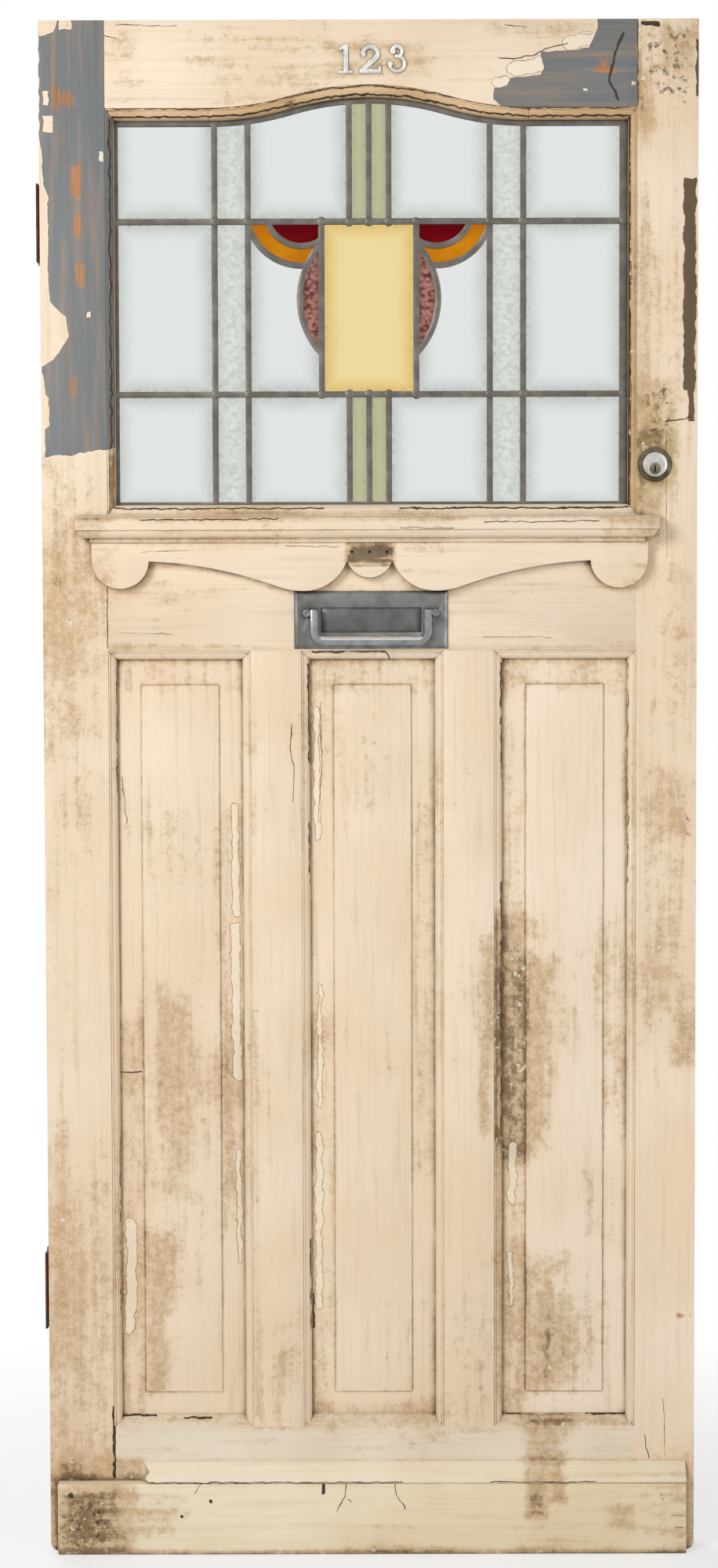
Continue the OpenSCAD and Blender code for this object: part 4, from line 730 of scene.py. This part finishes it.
rail_paints = {
    "top_rail": worn_paint(
        "paint_top_rail", "x",
        bare=([(1918, 178), (1930, 163), (1943, 164), (1946, 181), (1955, 184), (1959, 226), (1968, 230),
               (1989, 224), (1993, 288), (2005, 293), (2020, 301), (2040, 299)], [(160, 1905), (352, 1905)]),
        kept=[(281, 286, 1939, 1943), (343, 347, 1947, 1951)],
        pale=[(10, (192, 1968), (222, 1972)), (9, (262, 2000), (288, 2006)), (6, (168, 1950), (178, 1952))],
        wood=[(297, 318, 1962, 1980)],
        stains=[(-250, -60, 1930, 2030, 0.4, 30), (-346, -300, 1918, 2032, 0.3, 20),
                (-60, 80, 1950, 2010, 0.55, 14), (150, 300, 2012, 2032, 0.5, 8),
                (340, 352, 1918, 2032, 1.1, 8), (80, 170, 1950, 2000, 0.3, 25)],
        cracks=[(0.8, (170, 1981), (190, 1981), (215, 1985), (238, 1995), (260, 2001)),
                (0.5, (178, 2024), (206, 2021)), (0.6, (276, 2014), (292, 2012)),
                (0.5, (-330, 2026), (-250, 2024)),
                (1.7, (334, 2014), (325, 1995), (318, 1970), (315, 1950), (328, 1928)),
                (0.6, (-346, 2012), (-330, 2008))]),
    # The lock rail is darker in a band along its foot and in a band under the apron.
    "lock_rail": worn_paint(
        "paint_lock_rail", "x", stains=[(-346, 352, 1208, 1218, 0.4, 6), (-346, 352, 1272, 1300, 0.3, 12)],
        cracks=[(0.5, (-330, 1232), (-260, 1231)), (0.5, (150, 1226), (240, 1225))]),
    "bottom_rail": worn_paint(
        "paint_bottom_rail", "x", tones=(srgb(234, 222, 202), srgb(224, 208, 184)), dirt=0.2,
        stains=[(204, 262, 110, 185, 0.85, 22), (-346, -120, 118, 170, 0.25, 30),
                (-346, 352, 166, 190, 0.4, 8), (-346, -308, 90, 126, 0.9, 6), (-120, 100, 120, 170, 0.2, 30)],
        cracks=[(1.4, (-345, 98), (-345, 186)), (1.6, (-335, 181), (-290, 181)),
                (1.3, (-252, 178), (-215, 178)), (2.4, (288, 183), (338, 184)), (1.5, (170, 183), (200, 183)),
                (1.5, (-158, 182), (-150, 172), (-100, 172), (-92, 182)),
                (1.5, (97, 182), (104, 172), (156, 172), (163, 182))]),
}
muntin_paints = {
    "muntin_left": worn_paint(
        "paint_muntin_left", cracks=[(0.7, (-104, 1112), (-106, 1080), (-101, 1050), (-103, 1008))],
        stains=[(-158, -91, 168, 320, 0.3, 50), (-158, -148, 180, 1208, 0.3, 5)]),
    "muntin_right": worn_paint(
        "paint_muntin_right", stains=[(142, 164, 560, 820, 0.5, 12), (97, 164, 168, 320, 0.3, 50)]),
}
for node, paint in {**rail_paints, **muntin_paints}.items():
    soften_solid(node, BOARD_ROUND, paint)
print(len(rail_paints) + len(muntin_paints), "rails and muntins softened")

# %% [markdown]
# Each panel is one board with a raised field. The mouldings round it are planted strips, and dirt and painted
# shade lie along their quirks and round the field. The right-hand panel is the dirtiest, on its left margin.

# %% Panels
MOULDING_ROUND = 0.5

panel_paints = {
    "panel_left": worn_paint(
        "paint_panel_left", edges=[(-303.5, -200.5, 213, 1163)],
        pale=[(7, (-323, 440), (-321, 400), (-322, 340), (-326, 300)), (5, (-180, 1000), (-179, 860)),
              (6, (-181, 840), (-178, 640)), (3, (-178, 540), (-176, 390))],
        stains=[(-336, -303, 180, 720, 0.5, 12), (-300, -272, 220, 430, 0.5, 14),
                (-290, -240, 480, 760, 0.5, 25), (-300, -250, 210, 290, 0.4, 20),
                (-200, -170, 420, 1000, 0.35, 12), (-336, -150, 1150, 1210, 0.35, 15),
                (-336, -200, 600, 1000, 0.2, 60)],
        cracks=[(0.8, (-333, 646), (-320, 644), (-305, 647)), (0.6, (-330, 1040), (-324, 980))]),
    "panel_centre": worn_paint(
        "paint_panel_centre", edges=[(-48.5, 54.5, 213, 1163)],
        pale=[(4, (-72, 1130), (-70, 960)), (3, (-68, 760), (-69, 600)), (5, (-70, 560), (-71, 330))],
        stains=[(-82, -50, 180, 720, 0.35, 14), (20, 92, 180, 420, 0.25, 60), (-82, 92, 176, 200, 0.4, 8),
                (55, 92, 500, 1000, 0.35, 16), (-82, 92, 1150, 1210, 0.35, 15)],
        cracks=[(0.6, (-66, 1140), (-64, 1060), (-69, 980)), (1.4, (-78, 345), (-78, 300))]),
    "panel_right": worn_paint(
        "paint_panel_right", tones=(srgb(243, 227, 205), srgb(239, 219, 194)),
        edges=[(206.5, 309.5, 213, 1163)],
        pale=[(5, (190, 545), (188, 470)), (3, (186, 400), (188, 330))],
        stains=[(172, 206, 520, 850, 0.8, 18), (205, 245, 540, 790, 0.6, 30), (280, 304, 420, 520, 0.5, 12),
                (205, 262, 220, 400, 0.5, 30), (205, 310, 210, 330, 0.45, 40), (172, 206, 180, 540, 0.4, 12),
                (310, 345, 400, 700, 0.35, 16), (172, 345, 1150, 1210, 0.4, 15),
                (172, 206, 850, 1210, 0.35, 12)],
        cracks=[(1.6, (342, 535), (352, 533)), (1.2, (344, 333), (352, 333))]),
}
moulding_paints = {
    "panel_left_mouldings": worn_paint(
        "paint_left_mouldings", dirt=0.2, stains=[(-346, -330, 180, 760, 0.4, 10)],
        cracks=[(0.8, (-335.5, 560), (-335.5, 320)), (0.9, (-335.5, 1190), (-335.5, 1020))]),
    "panel_centre_mouldings": worn_paint(
        "paint_centre_mouldings", dirt=0.2,
        cracks=[(1.3, (-76, 1207), (20, 1207.5)), (1.0, (21, 1207), (26, 1198)),
                (1.5, (-81, 1190), (-81, 1060)), (1.1, (-81, 980), (-80, 900)),
                (1.4, (-81, 420), (-80, 300))]),
    "panel_right_mouldings": worn_paint(
        "paint_right_mouldings", dirt=0.2,
        stains=[(160, 180, 540, 860, 1.0, 20), (160, 180, 200, 560, 0.5, 20)],
        cracks=[(1.5, (174, 1190), (174.5, 1040)), (1.3, (174.5, 900), (174, 560)),
                (0.9, (341, 1190), (341.5, 900))]),
}
for node, paint in panel_paints.items():
    soften_solid(node, BOARD_ROUND, paint)
for node, paint in moulding_paints.items():
    soften_solid(node, MOULDING_ROUND, paint)
print("panels and mouldings softened")

# %% [markdown]
# The planted pieces on the face stand proud and take the knocks: the drip shelf with its scalloped apron,
# the plank at the foot and what is left of its sloped strip. A patch of apron is bare grey wood with three
# nail holes, where something was once fixed.

# %% Shelf, apron and weatherboard
PLANTED_STEPS = 3

planted = {
    "drip_shelf": (1.4, worn_paint(
        "paint_drip_shelf", "x", dirt=0.2,
        stains=[(300, 385, 1345, 1390, 0.5, 14), (-390, -340, 1345, 1390, 0.45, 12),
                (-386, 380, 1378, 1390, 0.5, 5)],
        cracks=[(0.9, (-300, 1380), (-120, 1381)), (0.8, (150, 1376), (300, 1377)),
                (0.6, (40, 1369), (110, 1368))])),
    "shelf_apron": (1.6, worn_paint(
        "paint_shelf_apron", "x", wood=[(-28, 30, 1323, 1351)], wood_colour=GREY_WOOD,
        stains=[(-32, 33, 1320, 1352, 1.0, 5), (300, 370, 1290, 1350, 0.35, 14),
                (-370, -330, 1290, 1350, 0.3, 12)],
        cracks=[(0.6, (-110, 1346), (-40, 1345)), (0.5, (-300, 1339), (-240, 1340))])),
    "weatherboard": (2.0, worn_paint(
        "paint_weatherboard", "x", tones=(srgb(238, 226, 200), srgb(230, 212, 178)), dirt=0.12,
        stains=[(-425, -330, 0, 96, 1.3, 30), (-330, -250, 20, 80, 0.65, 30), (206, 232, 50, 100, 1.0, 8),
                (238, 258, 70, 100, 0.8, 8), (316, 348, 36, 64, 0.5, 10), (-425, 425, 0, 8, 0.5, 5)],
        specks=[(-425, -350, 4, 90), (325, 405, 68, 80), (208, 228, 58, 96)],
        cracks=[(0.8, (-34, 97), (-37, 78), (-48, 58)), (0.8, (30, 97), (33, 80), (45, 62)),
                (0.7, (-228, 96), (-238, 84)), (2.6, (-65, 97), (-65, 83)), (2.2, (-217, 73), (-216, 71)),
                (3.0, (-403, 81), (-402, 79)), (0.8, (-32, 74), (-27, 71)), (0.6, (400, 52), (418, 51)),
                (0.6, (404, 36), (416, 34)), (1.8, (-255, 53), (-254, 52)), (2.0, (-366, 59), (-366, 57))])),
    "weather_strip": (1.0, worn_paint(
        "paint_weather_strip", "x", tones=(srgb(240, 228, 204), srgb(234, 218, 188)),
        stains=[(202, 258, 96, 125, 0.75, 10)],
        cracks=[(0.9, (-300, 97.5), (40, 97.5)), (0.8, (160, 97.5), (300, 97.5))])),
}
for node, (round_edge, paint) in planted.items():
    soften_solid(node, round_edge, paint, PLANTED_STEPS)
print(len(planted), "planted pieces softened")

# %% [markdown]
# The glazing mouldings round the light were painted with the rest. The one beside the hinge stile lost its
# paint with the stile, and a dark line of dirt and painted shade runs where they meet the lead.

# %% Glazing mouldings
GLAZING_TONES = (srgb(220, 190, 150), srgb(194, 160, 116))
ARCH_RISE = [(-335, 0), (-210, 0), (-157, 3.5), (-105, 14.5), (-52, 25.5), (0, 29.5), (52, 25.5), (105, 14.5),
             (157, 3.5), (210, 0), (341, 0)]
ARCH_EDGES = ((1.3, 1907.5), (1.1, 1917.5))
arch_lines = [(half, *((x, low + rise) for x, rise in ARCH_RISE)) for half, low in ARCH_EDGES]
# The thin dark stains and lines along the inner edges, where the mouldings meet the lead, are dirt and
# painted shade in the gap.
glazing = {
    "glazing_mould_left": worn_paint(
        "paint_glazing_left", bare=([(1388, -360), (1920, -360)], [(-350, 1474), (-330, 1476)]), dirt=0.3,
        wood=[(-338.5, -330, 1388, 1925)], wood_colour=srgb(132, 108, 78),
        stains=[(-339, -330, 1388, 1925, 0.8, 2)],
        cracks=[(1.3, (-340, 1476), (-339.5, 1905))]),
    "glazing_mould_right": worn_paint(
        "paint_glazing_right", tones=GLAZING_TONES, dirt=0.3,
        stains=[(346, 352, 1388, 1918, 0.5, 3), (330, 345, 1388, 1925, 1.2, 2)],
        specks=[(341, 352, 1400, 1520)],
        cracks=[(2.2, (341.5, 1392), (341.5, 1660)), (1.6, (342, 1660), (341.5, 1905))]),
    "glazing_mould_head": worn_paint(
        "paint_glazing_head", "x", tones=GLAZING_TONES, dirt=0.35, cracks=arch_lines,
        stains=[(-346, -300, 1904, 1950, 0.6, 15), (150, 352, 1904, 1950, 0.5, 20)]),
    "glazing_bead_sill": worn_paint(
        "paint_glazing_sill", "x", dirt=0.4,
        cracks=[(1.1, (-335, 1396), (-60, 1396)), (1.3, (40, 1396), (341, 1396))]),
    "inner_glazing_beads": worn_paint("paint_inner_beads", "x"),
}
for node, paint in glazing.items():
    soften_solid(node, MOULDING_ROUND, paint)
print(len(glazing), "glazing mouldings softened")

# %% [markdown]
# ## Lead
#
# Cames run between the panes, so their middle lines follow from the boxes of the panes. Solder and glass both
# use these lines, in millimetres.

# %% Grid of the light
HEART_HALF = 1.3
BORDER_HALF = 6.0
LIGHT_HIGH = 1950


def lead_line(node, side, axis):
    """The middle line of the lead by a pane: side 0 is left of it or below, side 1 right of it or above."""
    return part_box(node)[side][axis] / MM + (HEART_HALF if side else -HEART_HALF)


YELLOW_HALF = lead_line("yellow_pane", 1, 0)
GREEN_HALF = lead_line("green_panes", 1, 0)
INNER_STRIP = lead_line("amber_panes", 1, 0)
OUTER_STRIP = lead_line("hammered_panes", 1, 0)
LIGHT_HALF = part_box("lead_cames")[1].x / MM - BORDER_HALF
LIGHT_LOW = lead_line("clear_panes", 0, 2)
ROW_LOW, ROW_HIGH = lead_line("yellow_pane", 0, 2), lead_line("yellow_pane", 1, 2)
print("rows of lead at", round(ROW_LOW, 1), "and", round(ROW_HIGH, 1), "mm")

# %% [markdown]
# A came is an H of soft lead, rounded on its face, and every joint is a puddle of solder. The solid net has
# flat faces, so on a copy of it the faces at the front and back are inset, and the outer ring is pushed back
# towards the glass. That leaves a low ridge along the middle of every came.

# %% Rounded cames
CAME_SLOPE = 2.6
CAME_FALL = 0.85

lead = Finish("dull_lead")
tone = lead.mix(lead.step(lead.noise(22, 5), 0.35, 0.7), srgb(92, 87, 80), srgb(114, 109, 101))
# Corners found by ambient occlusion go dark brown: painted shade as well as dirt.
tone = lead.mix(lead.step(lead.crevice(6), 0.15, 0.7, 0.8), tone, srgb(62, 54, 44))
lead.set(base_color=tone, metallic=0.4, roughness=0.42)
lead.bump(lead.noise(5, 4), 0.25)

net = copy_solid("lead_cames")
front_y, back_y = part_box("lead_cames")[0].y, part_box("lead_cames")[1].y
ridge(net, -1, front_y, CAME_SLOPE, CAME_FALL)
ridge(net, 1, back_y, CAME_SLOPE, CAME_FALL)
pick(net)
bpy.ops.object.shade_smooth_by_angle(angle=SMOOTH_ANGLE)
dress(net, "lead_cames", lead.material)
print("cames rounded,", len(net.data.polygons), "faces")

# %% [markdown]
# Solder is modelled once, as a ball pressed flat and cut in half, then copied to every joint of the net. Each
# copy is turned and sized a little differently, and all of them are joined into one piece.

# %% Solder joints
SOLDER_SIZE = 6.2 * MM
SOLDER_RISE = 1.6 * MM
SOLDER_SUNK = 0.5 * MM
SOLDER_SPREAD = 0.25
DRAW_STEP = 7.3

uprights = (INNER_STRIP, OUTER_STRIP, YELLOW_HALF, GREEN_HALF, LIGHT_HALF)
joints = [(x, row) for x in uprights for row in (ROW_LOW, ROW_HIGH)]
joints += [(x, LIGHT_LOW) for x in (INNER_STRIP, OUTER_STRIP, GREEN_HALF)]
joints += [(-x, z) for x, z in joints] + [(0, ROW_LOW), (0, ROW_HIGH), (0, LIGHT_LOW)]

bpy.ops.object.select_all(action="DESELECT")
bpy.ops.mesh.primitive_uv_sphere_add(segments=14, ring_count=8, radius=1.0)
blob = bpy.context.object
bpy.ops.object.mode_set(mode="EDIT")
bpy.ops.mesh.select_all(action="SELECT")
bpy.ops.transform.resize(value=(SOLDER_SIZE, SOLDER_RISE, SOLDER_SIZE))
bpy.ops.mesh.bisect(plane_co=(0, 0, 0), plane_no=(0, 1, 0), use_fill=True, clear_outer=True)
bpy.ops.object.mode_set(mode="OBJECT")
bpy.ops.object.shade_smooth_by_angle(angle=SMOOTH_ANGLE)
drops = []
for count, (x, z) in enumerate(joints):
    for face, turn in ((front_y + SOLDER_SUNK, 0), (back_y - SOLDER_SUNK, math.pi)):
        drop = blob.copy()
        drop.data = blob.data.copy()
        bpy.context.collection.objects.link(drop)
        drop.location = (x * MM, face, z * MM)
        drop.rotation_euler = (0, count, turn)
        drop.scale = (1.0 + SOLDER_SPREAD * noise.noise(Vector((DRAW_STEP * count, turn, 0))), 1, 1)
        drops.append(drop)
bpy.data.objects.remove(blob)
bpy.ops.object.select_all(action="DESELECT")
for drop in drops:
    drop.select_set(True)
bpy.context.view_layer.objects.active = drops[0]
bpy.ops.object.join()
bpy.ops.object.transform_apply(location=True, rotation=True, scale=True)
solder = bpy.context.object
solder.name = "solder_joints"
coat(solder, lead.material)
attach(solder, body_of["lead_cames"])
print(len(joints), "joints soldered on both faces")

# %% [markdown]
# ## Glass
#
# The light has clear, hammered and coloured glass. Each sheet is a real slab, so a glass shader with a tint
# is enough, and the relief of a rolled or hammered sheet is a pattern in its bump. Along the lead, glass
# carries a painted shadow of the lead and is dirtier. A low index of refraction keeps the white studio from
# greying the deep colours.

# %% Glass recipe
GRIME = srgb(150, 142, 116)


def glass(name, tint, lead_shadow_tint, sheets, ripple=0.0, size=8.0, cells=False, deep=None, index=1.08, film=0.45):
    """Coloured glass. Sheets are boxes on one half of the light; lead_shadow_tint is the tint near the lead
    round them, a painted shadow of the lead.

    Deep, if given, is a tint that follows the relief of the sheet.
    """
    pane = Finish(name)
    mirrored = pane.vector("ABSOLUTE", pane.place, (0, 0, 0))
    inside = pane.boxes(sheets, mirrored)
    if cells:
        pattern = pane.nodes.new("ShaderNodeTexVoronoi")
        pattern.feature = "SMOOTH_F1"
        pattern.inputs["Scale"].default_value = 1.0
        scaled = pane.vector("MULTIPLY", pane.shaken(size / 12, size), (0.75 / size, 1 / size, 1 / size))
        pane.links.new(scaled, pattern.inputs["Vector"])
        relief = pattern.outputs["Distance"]
    else:
        relief = pane.noise(size, 2)
    cloudy = pane.plus(inside, pane.times(pane.noise(40, 3), 12.0))
    # Near the lead the tint turns into a painted shadow of the lead.
    colour = pane.mix(pane.step(cloudy, 36, 6), tint, lead_shadow_tint)
    if deep:
        colour = pane.mix(pane.step(relief, 0.25, 0.75), colour, deep)
    dirt = pane.times(pane.step(inside, 13, 4), pane.step(pane.noise(7, 5), 0.45, 0.7, film))
    colour = pane.mix(dirt, colour, GRIME)
    pane.set(base_color=colour, roughness=0.03, transmission_weight=1.0)
    pane.shader.inputs["IOR"].default_value = index
    if ripple:
        pane.bump(relief, ripple)
    return pane.material


print("glass recipe ready")

# %% [markdown]
# A pane has a painted shadow of its lead along its edges, so each kind of glass is told where its sheets lie.
# Both halves of the light are alike, so boxes on one half serve for both.

# %% Panes
CORNER_DEEP = 73
LEAF_WIDE, LEAF_LOW, LEAF_HIGH = 29, 1600, 1744
ROWS = [(LIGHT_LOW, ROW_LOW), (ROW_LOW, ROW_HIGH), (ROW_HIGH, LIGHT_HIGH)]
CLEAR = [(OUTER_STRIP, LIGHT_HALF, *row) for row in ROWS]
CLEAR += [(half, INNER_STRIP, *row) for half, row in zip((GREEN_HALF, YELLOW_HALF, GREEN_HALF), ROWS)]
HAMMERED = [(INNER_STRIP, OUTER_STRIP, *row) for row in ROWS]
GREEN_STRIPS = [(0, GREEN_HALF, *ROWS[0]), (0, GREEN_HALF, *ROWS[2])]
YELLOW = [(-YELLOW_HALF, YELLOW_HALF, *ROWS[1])]
CORNER = [(YELLOW_HALF, INNER_STRIP, ROW_HIGH - CORNER_DEEP, ROW_HIGH)]
LEAF = [(YELLOW_HALF, YELLOW_HALF + LEAF_WIDE, LEAF_LOW, LEAF_HIGH)]

panes = {
    "clear_panes": glass("clear_glass", srgb(225, 229, 228), srgb(200, 204, 200), CLEAR, 0.06, 60),
    "hammered_panes": glass("hammered_glass", srgb(224, 227, 223), srgb(208, 212, 206), HAMMERED, 0.5, 4.6,
                            cells=True, deep=srgb(200, 204, 199), index=1.25),
    "green_panes": glass("green_glass", srgb(198, 198, 168), srgb(182, 182, 146), GREEN_STRIPS, 0.1, 30),
    "amber_panes": glass("amber_glass", srgb(210, 136, 22), srgb(182, 106, 12), CORNER, 0.2, 40,
                         deep=srgb(186, 108, 12), film=0.06),
    "ruby_panes": glass("ruby_glass", srgb(112, 8, 18), srgb(92, 2, 10), CORNER, 0.1, 30, film=0.02),
    "leaf_panes": glass("rippled_purple_glass", srgb(200, 150, 134), srgb(152, 98, 88), LEAF, 1.0, 4.2,
                        cells=True, deep=srgb(86, 38, 42), index=1.25, film=0.1),
    "yellow_pane": glass("yellow_glass", srgb(239, 218, 158), srgb(226, 194, 120), YELLOW, 0.1, 60),
}
for node, material in panes.items():
    coat(solids[node], material)
print(len(panes), "kinds of glass")

# %% [markdown]
# ## Metal
#
# The letter plate and knocker have dull, worn plating. Metal is the Principled shader with its metallic value
# at one, or at a half under rust: its colour sets the tint of what it mirrors, and clouds in the roughness
# make it look handled.

# %% Metal recipe
BEVEL_SLOPE = (0, -math.sqrt(0.5), math.sqrt(0.5))


def metal(name, bright, dull, rough=0.35, worn=0.18, size=18.0, rust=None, corner_darkening=0.7, painted_highlight=None):
    """Worn metal that runs from bright to dull in clouds, with dirt and painted shade in its corners.

    Rust is a colour for spots, and painted_highlight a colour for faces that slope like the bail's bevel: a
    painted highlight.
    """
    skin = Finish(name)
    clouds = skin.noise(size, 6)
    fine = skin.noise(1.6, 3)
    colour = skin.mix(skin.step(clouds, 0.35, 0.68), bright, dull)
    # Corners found by ambient occlusion darken: painted shade as well as dirt.
    corner_dirt_and_shade = skin.times(skin.step(skin.crevice(5), 0.15, 0.8), skin.step(clouds, 0.3, 0.55))
    colour = skin.mix(skin.times(corner_dirt_and_shade, corner_darkening), colour, srgb(60, 50, 38))
    roughness = skin.plus(skin.step(clouds, 0.3, 0.75, worn), rough)
    if painted_highlight:
        # Faces that slope up and outwards are given a painted highlight colour.
        slope = skin.vector("DOT_PRODUCT", skin.spot.outputs["Normal"], BEVEL_SLOPE, "Value")
        colour = skin.mix(skin.step(slope, 0.88, 0.96), colour, painted_highlight)
    if rust:
        spots = skin.step(skin.noise(size / 2, 8), 0.42, 0.6)
        colour = skin.mix(spots, colour, rust)
        roughness = skin.plus(roughness, skin.times(spots, 0.3))
    skin.set(base_color=colour, roughness=roughness, metallic=1.0 if not rust else 0.5)
    skin.bump(skin.plus(fine, skin.times(clouds, 1.5)), 0.06)
    return skin.material


print("metal recipe ready")

# %% [markdown]
# Each metal piece is softened like the joinery, by a width in millimetres, and gets the plating, brass, steel
# or rusty iron that it shows. Only the thin spring of the flap keeps its own mesh.

# %% Metal pieces
pewter = metal("dull_plating", srgb(124, 124, 122), srgb(104, 104, 102), 0.34)
# The flap gets a darker copy of the plating, as painted shade for its recess.
flap_pewter = metal("dull_flap_plating", srgb(104, 105, 104), srgb(88, 89, 88), 0.34)
# The bail gets a lighter copy of the plating, with a painted highlight on faces that slope like its bevel.
bright_pewter = metal("lighter_plating_painted_highlight", srgb(150, 151, 152), srgb(122, 123, 124), 0.26,
                      painted_highlight=srgb(232, 233, 234))
ring_metal = metal("dark_ring", srgb(114, 105, 88), srgb(80, 72, 58), 0.4, corner_darkening=0.5)
satin = metal("satin_cylinder", srgb(190, 188, 182), srgb(164, 162, 156), 0.3, corner_darkening=0.3)
brass = metal("aged_brass", srgb(150, 122, 78), srgb(108, 84, 52), 0.35)
steel = metal("plain_steel", srgb(170, 170, 168), srgb(136, 134, 130), 0.35)
enamel = metal("lock_enamel", srgb(52, 46, 40), srgb(40, 34, 30), 0.4, rust=srgb(74, 52, 36))
iron = metal("rusty_iron", srgb(70, 54, 42), srgb(46, 34, 26), 0.5, rust=srgb(96, 60, 36))
polish = metal("polished_numerals", srgb(234, 234, 232), srgb(206, 206, 202), 0.14, 0.1, corner_darkening=1.0)
worn_plug = metal("worn_plug", srgb(126, 116, 98), srgb(92, 84, 70), 0.4)

METALS = {
    "letter_plate": (pewter, 1.0), "letter_flap": (flap_pewter, 0.3), "bail_posts": (pewter, 0.6),
    "cylinder_ring": (ring_metal, 0.3), "cylinder_body": (satin, 0.4), "cylinder_plug": (worn_plug, 0.3),
    "post_nuts": (steel, 0.4), "flap_rod": (steel, 0.2), "cylinder_tailbar": (steel, 0.2),
    "cylinder_clamp_plate": (steel, 0.3), "cylinder_screws": (steel, 0.3), "lock_back_plate": (steel, 0.3),
    "lock_screws": (steel, 0.3), "lock_case": (enamel, 1.2), "lock_bolt": (brass, 0.8),
    "lock_hub": (brass, 0.4), "thumb_turn": (brass, 1.4), "top_hinge_door_leaf": (iron, 0.6),
    "top_hinge_jamb_leaf": (iron, 0.6), "bottom_hinge_door_leaf": (iron, 0.6),
    "bottom_hinge_jamb_leaf": (iron, 0.6), "hinge_pins": (iron, 0.5), "hinge_screws": (iron, 0.3),
}
for node, (material, round_edge) in METALS.items():
    soften_solid(node, round_edge, material)
coat(solids["flap_spring"], steel)
print(len(METALS), "metal pieces softened")

# %% [markdown]
# The bail has a broad chamfer along the inside of its front face, which catches the light from above; its
# upward slopes also get a painted highlight in their colour. Those edges are picked by their place, between
# the arms and above the lower bar, and bevelled flat before the rest is rounded.

# %% Knocker bail
BAIL_BAR = 12 * MM
CHAMFER = 5.0
BAIL_ROUND = 0.7

bail = copy_solid("knocker_bail")
low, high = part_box("knocker_bail")
inwards = 0.9 * BAIL_BAR
bpy.ops.object.mode_set(mode="EDIT")
select_edges(bail, lambda p: p.y < low.y + 2 * ON_FACE and low.x + inwards < p.x < high.x - inwards
             and p.z > low.z + inwards)
bpy.ops.mesh.bevel(offset=CHAMFER * MM, segments=1, affect="EDGES")
bpy.ops.object.mode_set(mode="OBJECT")
soften(bail, BAIL_ROUND)
dress(bail, "knocker_bail", bright_pewter)
print("bail chamfered")

# %% [markdown]
# The numerals are cast with a ridge along every stroke. As with the lead, the front face is inset and the
# outer ring pushed back, so that each stroke slopes away from its middle and mirrors the room in two bands.

# %% Numerals
RIDGE = 1.9
RIDGE_FALL = 1.9
FIGURE_ROUND = 0.35

for node in ("numeral_one", "numeral_two", "numeral_three"):
    figure = copy_solid(node)
    ridge(figure, -1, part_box(node)[0].y, RIDGE, RIDGE_FALL)
    soften(figure, FIGURE_ROUND)
    dress(figure, node, polish)
print("numerals ridged")

# %% [markdown]
# ## Size
#
# The dressed door has to stay the size of the solids.

# %% End
print("done")
